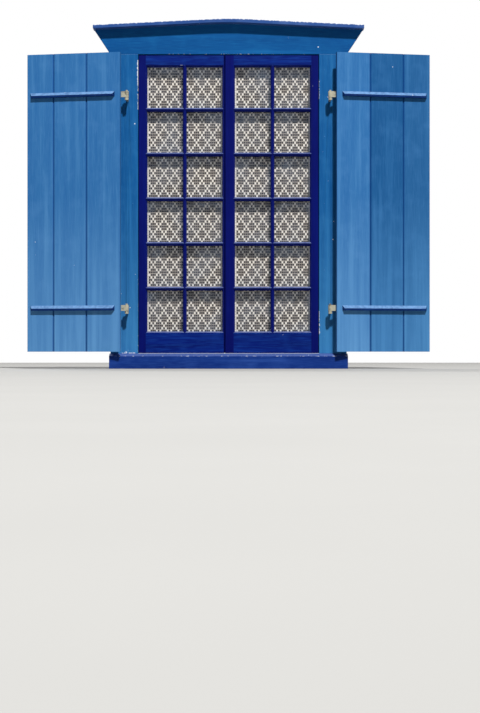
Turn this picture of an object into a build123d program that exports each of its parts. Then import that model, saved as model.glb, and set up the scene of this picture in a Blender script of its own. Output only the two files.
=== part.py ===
from build123d import *
import math
import os

# Cottage casement window: a timber frame with its sill, casing boards, head board and cap, two
# sashes that open inwards, two ledged shutters folded back flat, and lace panels.
# Millimetres. +Z is up, +X is to the right seen from outdoors and +Y points into the room.
# The origin is the middle of the sill's underside, in the plane of the casings' outdoor face.
# Pieces of a pair are drawn for the right-hand side, and mirrored for the left.

# Glass and glazing bars
PANE_WIDTH = 187.25
PANE_HEIGHT = 215.2
PANE_ROWS = 6
PANE_COLUMNS = 2
UPRIGHT_BAR_WIDTH = 20.0
LEVEL_BAR_HEIGHT = 20.0
GLASS_THICKNESS = 3.0
GLASS_EDGE_GAP = 1.0
REBATE_WIDTH = 7.0
REBATE_DEPTH = 15.0
PUTTY_SETBACK = 1.0
PUTTY_FRONT_EDGE = 1.0
INNER_BEVEL = 4.0

# Sashes
SASH_THICKNESS = 40.0
SASH_RECESS = 5.0
HINGE_STILE_WIDTH = 44.0
TOP_RAIL_HEIGHT = 60.8
BOTTOM_RAIL_HEIGHT = 113.0
CENTRE_BAR_WIDTH = 67.0
COVER_LAP = 17.0
COVER_LAP_GAP = 5.0
COVER_THICKNESS = 20.0
LAP_FACE_GAP = 0.7
MEETING_LINE_X = -0.75
MEETING_GAP = 2.5

# Frame
SASH_GAP = 3.0
STOP_LIP = 12.0
STOP_FACE_GAP = 0.5
EDGE_GAP = 2.5
JAMB_THICKNESS = 60.0
JAMB_DEPTH = 62.0
CASING_WIDTH = 145.0
CASING_THICKNESS = 28.0
ARRIS = 1.5
SILL_HEIGHT = 79.0
SILL_FRONT_HEIGHT = 66.0
SILL_PROJECTION = 45.0
SILL_HORN = 4.0
DRIP_RADIUS = 4.0
DRIP_INSET = 14.0

# Head board and cap
HEAD_BOARD_END_HEIGHT = 128.0
HEAD_BOARD_SPLAY = 85.0
CAP_RISE = 34.0
CAP_THICKNESS = 18.0
CAP_PROJECTION = 42.0
CAP_OVERHANG = 4.0
RIDGE_RADIUS = 2400.0

# Fixings through the jambs
FIXING_RADIUS = 4.5
FIXING_COUNT = 4
FIXING_SPACING = 340.0
FIXING_DEPTH_Y = 75.0

# Shutters
SHUTTER_OVERLAP = 29.0
SHUTTER_MEETING_GAP = 8.0
SHUTTER_THICKNESS = 24.0
SHUTTER_HEAD_GAP = 4.0
SHUTTER_FOOT_GAP = 9.0
HINGE_BOARD_WIDTH = 180.0
MIDDLE_BOARD_WIDTH = 178.0
SEAM_BEVEL = 5.0
TONGUE_THICKNESS = 7.4
GROOVE_THICKNESS = 8.0
TONGUE_LENGTH = 8.0
TONGUE_END_GAP = 0.5
SHUTTER_LEAN = 9.5
BATTEN_HEIGHT = 27.0
BATTEN_FRONT_HEIGHT = 11.0
BATTEN_DEPTH = 16.0
BATTEN_END_BEVEL = 9.0
BATTEN_FREE_INSET = 17.0
BATTEN_FACE_GAP = 1.0
UPPER_HINGE_INSET = 216.0
LOWER_HINGE_INSET = 228.0

# Shutter hinges
PIN_RADIUS = 6.0
PIN_CLEARANCE = 0.05
PIN_TIP = 7.0
PIN_CHAMFER = 1.5
PIN_TO_SHUTTER_EDGE = 27.0
STRAP_THICKNESS = 5.0
STRAP_HEIGHT = 31.0
STRAP_TIP_HEIGHT = 20.0
STRAP_REACH = 380.0
EYE_SEAT_GAP = 0.2
COLLAR_RADIUS = 10.0
COLLAR_HEIGHT = 14.0
SHANK_RADIUS = 6.5
SHANK_EMBED = 45.0
SCREW_REACHES = (75.0, 190.0, 330.0)
SCREW_RADIUS = 4.0
SCREW_LENGTH = 18.0
SCREW_HEAD_RADIUS = 8.5
SCREW_HEAD_HEIGHT = 4.5
SCREW_HEAD_EDGE = 1.0
HOLE_CLEARANCE = 0.1

# Sash hinges
SASH_HINGE_COUNT = 3
SASH_HINGE_INSET = 160.0
KNUCKLE_RADIUS = 4.5
KNUCKLE_TO_JAMB = 0.5
KNUCKLE_TO_SASH = 1.0
HINGE_HEIGHT = 75.0
HINGE_PIN_RADIUS = 2.5
LEAF_THICKNESS = 2.0
LEAF_WIDTH = 22.0
KNUCKLE_END_GAP = 0.2
KNUCKLE_SIDE_GAP = 0.3

# Bolt with its rack and pinion
BOLT_X = -16.0
ROD_RADIUS = 4.0
ROD_CLEARANCE = 0.05
ROD_FROM_SASH = 8.0
BOLT_TRAVEL_TURN = 150.0
PINION_TEETH = 12
PINION_MODULE = 1.0
PRESSURE_ANGLE = 25.0
ADDENDUM = 0.9
DEDENDUM = 1.1
TOOTH_BACKLASH = 0.2
FLANK_STEPS = 3
RACK_DEPTH = 8.0
RACK_BACK = 2.9
RACK_TAIL = 22.0
NECK_START = 10.0
NECK_END = 16.0
CASE_WIDTH = 25.0
CASE_DEPTH = 20.0
CASE_WALL = 2.0
TRAVEL_SPARE = 2.3
SPINDLE_RADIUS = 4.0
SPINDLE_TIP = 8.0
SPINDLE_BACK_GAP = 1.0
HANDLE_STANDOFF = 1.0
HANDLE_NECK_RADIUS = 6.5
HANDLE_NECK_LENGTH = 14.0
HANDLE_LENGTH = 62.0
HANDLE_RADIUS = 9.5
GUIDE_OFFSETS = (330.0, 650.0)
GUIDE_WIDTH = 14.0
GUIDE_HEIGHT = 10.0
GUIDE_WALL = 2.5
ROD_END_GAP = 2.5
KEEPER_HOLE_RADIUS = 5.0
KEEPER_WIDTH = 24.0
KEEPER_LENGTH = 46.0
KEEPER_THICKNESS = 2.0

# Curtain rods, lace and its lining
CURTAIN_ROD_RADIUS = 2.5
CURTAIN_ROD_STANDOFF = 9.0
CURTAIN_ROD_FROM_SIGHT = 20.0
CURTAIN_ROD_OVERHANG = 4.0
CURTAIN_ROD_BEND = 3.5
CURTAIN_ROD_FOOT_RADIUS = 4.0
CURTAIN_ROD_FOOT_THICKNESS = 1.5
CURTAIN_MEETING_OVERLAP = 2.0
CURTAIN_HINGE_OVERLAP = 4.0
LACE_THICKNESS = 1.2
SLEEVE_GAP = 0.3
SLEEVE_WALL = 1.2
LACE_COLUMNS = 7
LACE_ROWS = 17
LACE_BAND = 9.0
LINING_THICKNESS = 0.8
LINING_HEM_GAP = 1.0

# Depths
sash_face = SASH_RECESS
sash_back = sash_face + SASH_THICKNESS
glass_seat = sash_face + REBATE_DEPTH
glass_face = glass_seat - GLASS_THICKNESS
lip_face = CASING_THICKNESS + STOP_FACE_GAP
cover_back = sash_face + COVER_THICKNESS
frame_back = CASING_THICKNESS + JAMB_DEPTH

# Widths from the window's middle
sight_in = CENTRE_BAR_WIDTH / 2
bay_width = PANE_COLUMNS * PANE_WIDTH + (PANE_COLUMNS - 1) * UPRIGHT_BAR_WIDTH
sight_out = sight_in + bay_width
sash_edge = sight_out + HINGE_STILE_WIDTH
opening_edge = sash_edge + SASH_GAP
jamb_face = opening_edge + STOP_LIP
sash_lip_edge = jamb_face - EDGE_GAP
jamb_outer = jamb_face + JAMB_THICKNESS
casing_outer = opening_edge + CASING_WIDTH

# Heights
sash_foot = SILL_HEIGHT + SASH_GAP
sight_foot = sash_foot + BOTTOM_RAIL_HEIGHT
bay_height = PANE_ROWS * PANE_HEIGHT + (PANE_ROWS - 1) * LEVEL_BAR_HEIGHT
sight_head = sight_foot + bay_height
sash_head = sight_head + TOP_RAIL_HEIGHT
opening_head = sash_head + SASH_GAP
head_jamb_face = opening_head + STOP_LIP
sash_lip_head = head_jamb_face - EDGE_GAP
sash_middle = (sash_foot + sash_head) / 2

# Shutters and their hinge pins
shutter_width = opening_edge + SHUTTER_OVERLAP - SHUTTER_MEETING_GAP / 2
shutter_hinge_edge = opening_edge + SHUTTER_OVERLAP
shutter_inner_face = -(BATTEN_DEPTH + BATTEN_FACE_GAP)
shutter_outer_face = shutter_inner_face - SHUTTER_THICKNESS
shutter_foot = SILL_HEIGHT + SHUTTER_FOOT_GAP
shutter_head = opening_head - SHUTTER_HEAD_GAP
eye_radius = PIN_RADIUS + PIN_CLEARANCE + STRAP_THICKNESS
pin_x = shutter_hinge_edge + PIN_TO_SHUTTER_EDGE
pin_y = shutter_outer_face - eye_radius
open_turn = 180 + SHUTTER_LEAN

# Sash hinge pins
pivot_x = jamb_face - KNUCKLE_RADIUS - KNUCKLE_TO_JAMB
pivot_y = sash_back + KNUCKLE_RADIUS + KNUCKLE_TO_SASH

# Bolt
rod_y = sash_back + ROD_FROM_SASH
pitch_radius = PINION_MODULE * PINION_TEETH / 2
tooth_pitch = math.pi * PINION_MODULE
rod_travel = pitch_radius * math.radians(BOLT_TRAVEL_TURN)
keeper_hole_depth = rod_travel + TRAVEL_SPARE
case_half_height = NECK_END + rod_travel + TRAVEL_SPARE + CASE_WALL

# Curtain rods
curtain_rod_y = sash_back + CURTAIN_ROD_STANDOFF
curtain_in = sight_in - CURTAIN_MEETING_OVERLAP
curtain_out = sight_out + CURTAIN_HINGE_OVERLAP
curtain_head = sight_head + CURTAIN_ROD_FROM_SIGHT
curtain_foot = sight_foot - CURTAIN_ROD_FROM_SIGHT
lace_front = curtain_rod_y - LACE_THICKNESS / 2
lace_back = curtain_rod_y + LACE_THICKNESS / 2
sleeve_bore = CURTAIN_ROD_RADIUS + SLEEVE_GAP
sleeve_radius = sleeve_bore + SLEEVE_WALL


def block(x, y, z):
    """Box between the low and high values of x, y and z."""
    size = Box(x[1] - x[0], y[1] - y[0], z[1] - z[0])
    return Pos((x[0] + x[1]) / 2, (y[0] + y[1]) / 2, (z[0] + z[1]) / 2) * size


def upright(outline, low, high):
    """Prism that stands on an outline of (x, y) points, from z low to z high."""
    points = [(x, y, low) for x, y in outline]
    return extrude(make_face(Polyline(*points, close=True)), amount=high - low, dir=(0, 0, 1))


def level(outline, left, right):
    """Prism that runs along X with an outline of (y, z) points."""
    points = [(left, y, z) for y, z in outline]
    return extrude(make_face(Polyline(*points, close=True)), amount=right - left, dir=(1, 0, 0))


def inward(outline, front, back):
    """Prism that runs along Y with an outline of (x, z) points."""
    points = [(x, front, z) for x, z in outline]
    return extrude(make_face(Polyline(*points, close=True)), amount=back - front, dir=(0, 1, 0))


def post(x, y, radius, low, high):
    """Upright cylinder."""
    return Pos(x, y, (low + high) / 2) * Cylinder(radius, high - low)


def peg(x, z, radius, front, back):
    """Cylinder along Y."""
    return Pos(x, (front + back) / 2, z) * Rot(90, 0, 0) * Cylinder(radius, back - front)


def mirrored(piece):
    """The same piece for the left-hand side."""
    return mirror(piece, about=Plane.YZ)


def column_edges(column):
    """Left and right sight line of a column of panes."""
    left = sight_in + column * (PANE_WIDTH + UPRIGHT_BAR_WIDTH)
    return left, left + PANE_WIDTH


def row_edges(row):
    """Lower and upper sight line of a row of panes."""
    low = sight_foot + row * (PANE_HEIGHT + LEVEL_BAR_HEIGHT)
    return low, low + PANE_HEIGHT


# Frame


def fixing_heights():
    """Heights of the fixing holes, spread about the middle of the sash."""
    first = sash_middle - FIXING_SPACING * (FIXING_COUNT - 1) / 2
    return [first + FIXING_SPACING * i for i in range(FIXING_COUNT)]


def hinge_heights():
    """Heights of the eyes of the two shutter hinges."""
    return {"upper": shutter_head - UPPER_HINGE_INSET, "lower": shutter_foot + LOWER_HINGE_INSET}


def shank_height(eye_z):
    """Height of a pintle's shank under the eye that it carries."""
    return eye_z - STRAP_HEIGHT / 2 - EYE_SEAT_GAP - COLLAR_HEIGHT / 2


def shank_holes():
    """Holes for the two pintle shanks of one side."""
    radius = SHANK_RADIUS + HOLE_CLEARANCE
    holes = [
        peg(pin_x, shank_height(z), radius, 0, CASING_THICKNESS + SHANK_EMBED)
        for z in hinge_heights().values()
    ]
    return Part() + holes


def sill():
    """Sill with a weathered front, horns under the casings and a drip groove."""
    front = -SILL_PROJECTION
    horn = casing_outer + SILL_HORN
    outline = [
        (front, 0),
        (front, SILL_FRONT_HEIGHT - ARRIS),
        (front + ARRIS, SILL_FRONT_HEIGHT),
        (0, SILL_HEIGHT),
        (CASING_THICKNESS, SILL_HEIGHT),
        (CASING_THICKNESS, 0),
    ]
    nose = level(outline, -horn, horn)
    tail = block((-jamb_outer, jamb_outer), (CASING_THICKNESS, frame_back), (0, SILL_HEIGHT))
    groove = Pos(0, front + DRIP_INSET, 0) * Rot(0, 90, 0) * Cylinder(DRIP_RADIUS, 2 * horn)
    socket = post(BOLT_X, rod_y, KEEPER_HOLE_RADIUS, SILL_HEIGHT - keeper_hole_depth, SILL_HEIGHT)
    return nose + tail - groove - socket - keeper_blank(SILL_HEIGHT - KEEPER_THICKNESS)


def side_jamb():
    """Jamb that carries a sash, bored for the pintles and for the fixings."""
    body = block(
        (jamb_face, jamb_outer), (CASING_THICKNESS, frame_back), (SILL_HEIGHT, head_jamb_face)
    )
    for z in fixing_heights():
        place = Pos(jamb_outer, FIXING_DEPTH_Y, z) * Rot(0, 90, 0)
        body -= place * Cylinder(FIXING_RADIUS, 3 * JAMB_THICKNESS)
    return body - shank_holes()


def head_jamb():
    """Jamb over both side jambs, with the socket of the upper bolt rod."""
    top = head_jamb_face + JAMB_THICKNESS
    body = block((-jamb_outer, jamb_outer), (CASING_THICKNESS, frame_back), (head_jamb_face, top))
    high = head_jamb_face + keeper_hole_depth
    socket = post(BOLT_X, rod_y, KEEPER_HOLE_RADIUS, head_jamb_face, high)
    return body - socket - keeper_blank(head_jamb_face)


def casing():
    """Casing board with eased front arrises, which is also the sash's stop."""
    outline = [
        (opening_edge + ARRIS, 0),
        (casing_outer - ARRIS, 0),
        (casing_outer, ARRIS),
        (casing_outer, CASING_THICKNESS),
        (opening_edge, CASING_THICKNESS),
        (opening_edge, ARRIS),
    ]
    return upright(outline, SILL_HEIGHT, opening_head) - shank_holes()


def ridge_line(half_width, end_z):
    """Low gable over the given half width, from one end to the other, with a rounded ridge."""
    rise = CAP_RISE * half_width / (casing_outer + HEAD_BOARD_SPLAY)
    ends = (-half_width, 0, end_z), (half_width, 0, end_z)
    return FilletPolyline(ends[0], (0, 0, end_z + rise), ends[1], radius=RIDGE_RADIUS)


def head_board():
    """Board over the opening, with splayed ends and a low gable top."""
    top_half = casing_outer + HEAD_BOARD_SPLAY
    top = ridge_line(top_half, opening_head + HEAD_BOARD_END_HEIGHT)
    sides = Polyline(
        top @ 1, (casing_outer, 0, opening_head), (-casing_outer, 0, opening_head), top @ 0
    )
    return extrude(make_face(top + sides), amount=CASING_THICKNESS, dir=(0, 1, 0))


def cap_board():
    """Thin board bent over the head board, standing out in front of it."""
    half = casing_outer + HEAD_BOARD_SPLAY + CAP_OVERHANG
    slope = CAP_RISE / (casing_outer + HEAD_BOARD_SPLAY)
    end_z = opening_head + HEAD_BOARD_END_HEIGHT - slope * CAP_OVERHANG
    under = Pos(0, -CAP_PROJECTION, 0) * ridge_line(half, end_z)
    over = Pos(0, 0, CAP_THICKNESS) * under
    ends = Line(under @ 0, over @ 0), Line(under @ 1, over @ 1)
    face = make_face(under + over + ends[0] + ends[1])
    return extrude(face, amount=CAP_PROJECTION + CASING_THICKNESS, dir=(0, 1, 0))


def pintle(eye_z):
    """Pin with its collar, on a shank that goes through the casing into the jamb."""
    seat = eye_z - STRAP_HEIGHT / 2 - EYE_SEAT_GAP
    tip = eye_z + STRAP_HEIGHT / 2 + PIN_TIP
    pin = post(pin_x, pin_y, PIN_RADIUS, seat, tip)
    pin = chamfer(pin.edges().sort_by(Axis.Z)[-1], PIN_CHAMFER)
    collar = post(pin_x, pin_y, COLLAR_RADIUS, seat - COLLAR_HEIGHT, seat)
    end = CASING_THICKNESS + SHANK_EMBED
    return pin + collar + peg(pin_x, shank_height(eye_z), SHANK_RADIUS, pin_y, end)


# Shutters, drawn shut and then turned open about the hinge pin


def opened(piece):
    """A piece of the shut right-hand shutter, folded back."""
    return piece.rotate(Axis((pin_x, pin_y, 0), (0, 0, 1)), open_turn)


def board_outline(start, end, tongue, groove):
    """Section of a board from start to end, measured from the hinge edge, as (x, y) points."""
    centre = SHUTTER_THICKNESS / 2
    back = SHUTTER_THICKNESS
    near = SEAM_BEVEL if groove else ARRIS
    far = SEAM_BEVEL if tongue else ARRIS
    points = [(start + near, 0), (start, near)]
    if groove:
        half = GROOVE_THICKNESS / 2
        floor = start + TONGUE_LENGTH + TONGUE_END_GAP
        points += [(start, centre - half), (floor, centre - half)]
        points += [(floor, centre + half), (start, centre + half)]
    points += [(start, back - near), (start + near, back), (end - far, back), (end, back - far)]
    if tongue:
        half = TONGUE_THICKNESS / 2
        tip = end + TONGUE_LENGTH
        points += [(end, centre + half), (tip, centre + half)]
        points += [(tip, centre - half), (end, centre - half)]
    points += [(end, far), (end - far, 0)]
    return [(shutter_hinge_edge - u, shutter_inner_face - depth) for u, depth in points]


def strap_screw_places():
    """Places of the coach screws in the two straps, as (x, z) pairs."""
    heights = hinge_heights().values()
    return [(pin_x - reach, z) for z in heights for reach in SCREW_REACHES]


def shutter_boards():
    """The three boards: at the hinge, in the middle and at the free edge."""
    seams = [0, HINGE_BOARD_WIDTH, HINGE_BOARD_WIDTH + MIDDLE_BOARD_WIDTH, shutter_width]
    end = shutter_outer_face + SCREW_LENGTH
    radius = SCREW_RADIUS + HOLE_CLEARANCE
    holes = [peg(x, z, radius, shutter_outer_face, end) for x, z in strap_screw_places()]
    names = ("hinge_board", "middle_board", "free_board")
    boards = {}
    for i, name in enumerate(names):
        outline = board_outline(seams[i], seams[i + 1], tongue=name != names[-1], groove=i > 0)
        boards[name] = opened(upright(outline, shutter_foot, shutter_head) - holes)
    return boards


def batten(middle_z):
    """Slim batten with a sloping top and sloping ends, across the inner face of the boards."""
    face = shutter_inner_face
    front = face + BATTEN_DEPTH
    low = middle_z - BATTEN_HEIGHT / 2
    section = [
        (face, low),
        (front, low),
        (front, low + BATTEN_FRONT_HEIGHT),
        (face, low + BATTEN_HEIGHT),
    ]
    left = shutter_hinge_edge - shutter_width + BATTEN_FREE_INSET
    right = opening_edge
    plan = [
        (left, face),
        (left + BATTEN_END_BEVEL, front),
        (right - BATTEN_END_BEVEL, front),
        (right, face),
    ]
    whole = level(section, left, right)
    return opened(whole & upright(plan, low, low + BATTEN_HEIGHT))


def strap(eye_z):
    """Forged strap with a rolled eye, tapering to a rounded tip."""
    front = shutter_outer_face - STRAP_THICKNESS
    low, high = eye_z - STRAP_HEIGHT / 2, eye_z + STRAP_HEIGHT / 2
    tip_low, tip_high = eye_z - STRAP_TIP_HEIGHT / 2, eye_z + STRAP_TIP_HEIGHT / 2
    tip_x = pin_x - STRAP_REACH
    shoulder = tip_x + STRAP_TIP_HEIGHT / 2
    sides = Polyline(
        (shoulder, front, tip_low), (pin_x, front, low), (pin_x, front, high), (shoulder, front, tip_high)
    )
    nose = ThreePointArc(sides @ 1, (tip_x, front, eye_z), sides @ 0)
    solid = extrude(make_face(sides + nose), amount=STRAP_THICKNESS, dir=(0, 1, 0))
    for reach in SCREW_REACHES:
        hole = SCREW_RADIUS + HOLE_CLEARANCE
        solid -= peg(pin_x - reach, eye_z, hole, front, shutter_outer_face)
    eye = post(pin_x, pin_y, eye_radius, low, high)
    return opened(solid + eye - post(pin_x, pin_y, PIN_RADIUS + PIN_CLEARANCE, low, high))


def coach_screw(x, z):
    """Screw with a low domed head on the strap and its shank in the board."""
    seat = shutter_outer_face - STRAP_THICKNESS
    head = peg(x, z, SCREW_HEAD_RADIUS, seat - SCREW_HEAD_HEIGHT, seat)
    head = fillet(head.edges().sort_by(Axis.Y)[0], SCREW_HEAD_HEIGHT - SCREW_HEAD_EDGE)
    return head + peg(x, z, SCREW_RADIUS, seat, shutter_outer_face + SCREW_LENGTH)


def strap_screws():
    """All coach screws of one shutter."""
    return [opened(coach_screw(x, z)) for x, z in strap_screw_places()]


# Sashes


def member_outline(width, lip, sight, side):
    """Front and back outlines across a stile or rail, as (across, depth) pairs.

    Across is measured from the sight line towards the member's outer edge.
    """
    step = lip_face
    front = [
        (REBATE_WIDTH, sash_face),
        (width, sash_face),
        (width, step),
        (0, step),
        (0, glass_seat),
        (REBATE_WIDTH, glass_seat),
    ]
    back = [
        (0, step),
        (width + lip, step),
        (width + lip, sash_back),
        (INNER_BEVEL, sash_back),
        (0, sash_back - INNER_BEVEL),
    ]
    return [[(sight + side * a, depth) for a, depth in part] for part in (front, back)]


def hinge_stile():
    """Stile at the jamb, whose back half laps behind the casing."""
    lip = sash_lip_edge - sash_edge
    front, back = member_outline(HINGE_STILE_WIDTH, lip, sight_out, 1)
    return upright(front, sash_foot, sash_head) + upright(back, sash_foot, sash_lip_head)


def meeting_stile(cover_edge, room_edge, step):
    """Stile in the middle, stepped at a depth so that one sash covers the other."""
    rebate_edge = sight_in - REBATE_WIDTH
    front = [
        (rebate_edge, sash_face),
        (cover_edge, sash_face),
        (cover_edge, step),
        (room_edge, step),
        (room_edge, lip_face),
        (sight_in, lip_face),
        (sight_in, glass_seat),
        (rebate_edge, glass_seat),
    ]
    back = [
        (room_edge, lip_face),
        (sight_in, lip_face),
        (sight_in, sash_back - INNER_BEVEL),
        (sight_in - INNER_BEVEL, sash_back),
        (room_edge, sash_back),
    ]
    return upright(front, sash_foot, sash_head) + upright(back, sash_foot, sash_lip_head)


def rail(width, lip, sight, side, stiles):
    """Rail coped to the two stiles."""
    outlines = member_outline(width, lip, sight, side)
    solid = Part()
    for outline in outlines:
        turned = [(depth, across) for across, depth in outline]
        solid += level(turned, sight_in - REBATE_WIDTH, sight_out + REBATE_WIDTH)
    for stile in stiles:
        solid -= stile
    return solid


def bar_outline(width):
    """Section of a glazing bar, as (across, depth) pairs about its middle."""
    half = width / 2
    fin = half - REBATE_WIDTH
    return [
        (-fin, sash_face),
        (fin, sash_face),
        (fin, glass_seat),
        (half, glass_seat),
        (half, sash_back - INNER_BEVEL),
        (half - INNER_BEVEL, sash_back),
        (INNER_BEVEL - half, sash_back),
        (-half, sash_back - INNER_BEVEL),
        (-half, glass_seat),
        (-fin, glass_seat),
    ]


def upright_bars(rails):
    """Upright glazing bars between the columns, coped to the rails."""
    bars = []
    for column in range(PANE_COLUMNS - 1):
        middle = column_edges(column)[1] + UPRIGHT_BAR_WIDTH / 2
        outline = [(middle + a, depth) for a, depth in bar_outline(UPRIGHT_BAR_WIDTH)]
        bar = upright(outline, sight_foot - REBATE_WIDTH, sight_head + REBATE_WIDTH)
        for piece in rails:
            bar -= piece
        bars.append(bar)
    return bars


def level_bars(uprights, stiles):
    """Short level bars, one in each column between two rows, coped to what they meet."""
    bars = []
    for row in range(PANE_ROWS - 1):
        middle = row_edges(row)[1] + LEVEL_BAR_HEIGHT / 2
        outline = [(depth, middle + a) for a, depth in bar_outline(LEVEL_BAR_HEIGHT)]
        for column in range(PANE_COLUMNS):
            left, right = column_edges(column)
            bar = level(outline, left - REBATE_WIDTH, right + REBATE_WIDTH)
            for piece in uprights + stiles:
                bar -= piece
            bars.append(bar)
    return bars


def bays():
    """Sight rectangles of all panes of a sash, as (left, right, low, high)."""
    rows = [row_edges(row) for row in range(PANE_ROWS)]
    columns = [column_edges(column) for column in range(PANE_COLUMNS)]
    return [(*column, *row) for row in rows for column in columns]


def pane(bay):
    """Sheet of glass in its rebate."""
    left, right, low, high = bay
    reach = REBATE_WIDTH - GLASS_EDGE_GAP
    return block((left - reach, right + reach), (glass_face, glass_seat), (low - reach, high + reach))


def bay_face(bay, grow, y):
    """Rectangle of a bay, grown on every side, in the plane at y."""
    left, right, low, high = bay
    corners = [
        (left - grow, y, low - grow),
        (right + grow, y, low - grow),
        (right + grow, y, high + grow),
        (left - grow, y, high + grow),
    ]
    return make_face(Polyline(*corners, close=True))


def putty(bay):
    """Ring of putty in front of a pane, sloping from the bar's face down to the glass."""
    front = sash_face + PUTTY_SETBACK
    ring = extrude(bay_face(bay, REBATE_WIDTH, front), amount=glass_face - front, dir=(0, 1, 0))
    mouth = bay_face(bay, REBATE_WIDTH - PUTTY_FRONT_EDGE, front)
    return ring - loft([mouth, bay_face(bay, 0, glass_face)])


def sash_hinge_heights():
    """Middles of the butt hinges of a sash."""
    low = sash_foot + SASH_HINGE_INSET
    step = (sash_head - SASH_HINGE_INSET - low) / (SASH_HINGE_COUNT - 1)
    return [low + step * i for i in range(SASH_HINGE_COUNT)]


def knuckle_spans(z):
    """Low, middle and top third of a butt hinge."""
    third = HINGE_HEIGHT / 3
    low = z - HINGE_HEIGHT / 2
    return [(low + third * i, low + third * (i + 1)) for i in range(3)]


def frame_hinge(z):
    """Leaf on the jamb with the two outer knuckles and the pin."""
    lower, middle, upper = knuckle_spans(z)
    leaf = block(
        (jamb_face - LEAF_THICKNESS, jamb_face), (pivot_y, pivot_y + LEAF_WIDTH), (lower[0], upper[1])
    )
    room = KNUCKLE_RADIUS + KNUCKLE_SIDE_GAP
    leaf -= post(pivot_x, pivot_y, room, middle[0], middle[1])
    knuckles = [post(pivot_x, pivot_y, KNUCKLE_RADIUS, *span) for span in (lower, upper)]
    pin = post(pivot_x, pivot_y, HINGE_PIN_RADIUS, lower[0], upper[1])
    return leaf + knuckles + pin


def sash_hinge(z):
    """Leaf on the room face of the sash with the middle knuckle."""
    lower, middle, upper = knuckle_spans(z)
    leaf = block(
        (pivot_x - LEAF_WIDTH, pivot_x), (sash_back, sash_back + LEAF_THICKNESS), (lower[0], upper[1])
    )
    room = KNUCKLE_RADIUS + KNUCKLE_SIDE_GAP
    for span in (lower, upper):
        leaf -= post(pivot_x, pivot_y, room, span[0] - KNUCKLE_END_GAP, span[1] + KNUCKLE_END_GAP)
    low, high = middle[0] + KNUCKLE_END_GAP, middle[1] - KNUCKLE_END_GAP
    knuckle = post(pivot_x, pivot_y, KNUCKLE_RADIUS, low, high)
    bore = post(pivot_x, pivot_y, HINGE_PIN_RADIUS + PIN_CLEARANCE, low, high)
    return leaf + knuckle - bore


def curtain_rod(z):
    """Wire rod bent back at both ends to feet on the stiles."""
    left = curtain_in - CURTAIN_ROD_OVERHANG
    right = curtain_out + CURTAIN_ROD_OVERHANG
    corners = [(left, sash_back), (left, curtain_rod_y), (right, curtain_rod_y), (right, sash_back)]
    path = FilletPolyline(*[(x, y, z) for x, y in corners], radius=CURTAIN_ROD_BEND)
    rod = sweep((path ^ 0) * Circle(CURTAIN_ROD_RADIUS), path)
    foot_top = sash_back + CURTAIN_ROD_FOOT_THICKNESS
    for x in (left, right):
        rod += peg(x, z, CURTAIN_ROD_FOOT_RADIUS, sash_back, foot_top)
    return rod


def lace_gap(x, z, step_x, step_z):
    """Lozenge left open in the lace about (x, z), as a closed wire."""
    half_x = (step_x - LACE_BAND) / 2
    half_z = half_x * step_z / step_x
    corners = [(x - half_x, z), (x, z - half_z), (x + half_x, z), (x, z + half_z)]
    return Wire.make_polygon([(x, lace_front, z) for x, z in corners], close=True)


def lace_panel():
    """Flat lace panel with a lattice of lozenges, and a sleeve on each rod."""
    low = curtain_foot + sleeve_radius
    step_x = (curtain_out - curtain_in) / LACE_COLUMNS
    step_z = (curtain_head - sleeve_radius - low) / LACE_ROWS
    gaps = [
        lace_gap(curtain_in + step_x * (i + 0.5), low + step_z * (j + 0.5), step_x, step_z)
        for j in range(LACE_ROWS)
        for i in range(LACE_COLUMNS)
    ]
    corners = [
        (curtain_in, lace_front, curtain_foot),
        (curtain_out, lace_front, curtain_foot),
        (curtain_out, lace_front, curtain_head),
        (curtain_in, lace_front, curtain_head),
    ]
    face = Face(Wire.make_polygon(corners, close=True), gaps)
    panel = Part() + extrude(face, amount=LACE_THICKNESS, dir=(0, 1, 0))
    length = curtain_out - curtain_in
    for z in (curtain_foot, curtain_head):
        place = Pos((curtain_in + curtain_out) / 2, curtain_rod_y, z) * Rot(0, 90, 0)
        panel += place * Cylinder(sleeve_radius, length)
        panel -= place * Cylinder(sleeve_bore, length)
    return panel


def lining():
    """Plain dark cloth sewn flat to the room side of the lace, between its sleeves."""
    low = curtain_foot + sleeve_radius + LINING_HEM_GAP
    high = curtain_head - sleeve_radius - LINING_HEM_GAP
    return block((curtain_in, curtain_out), (lace_back, lace_back + LINING_THICKNESS), (low, high))


# Bolt on the left-hand sash


def keeper_blank(low):
    """Plate of a keeper before its hole is bored, let in with its lower face at low."""
    return block(
        (BOLT_X - KEEPER_WIDTH / 2, BOLT_X + KEEPER_WIDTH / 2),
        (rod_y - KEEPER_LENGTH / 2, rod_y + KEEPER_LENGTH / 2),
        (low, low + KEEPER_THICKNESS),
    )


def keepers():
    """Keeper plates let into the sill and the head jamb."""
    plates = []
    for low in (SILL_HEIGHT - KEEPER_THICKNESS, head_jamb_face):
        hole = post(BOLT_X, rod_y, KEEPER_HOLE_RADIUS, low, low + KEEPER_THICKNESS)
        plates.append(keeper_blank(low) - hole)
    return plates


def involute_point(base, radius, tooth_half_angle):
    """Point of the tooth's upper flank at a radius, as an angle from the tooth's middle."""
    roll = math.sqrt(max((radius / base) ** 2 - 1, 0))
    return tooth_half_angle - (roll - math.atan(roll))


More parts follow.
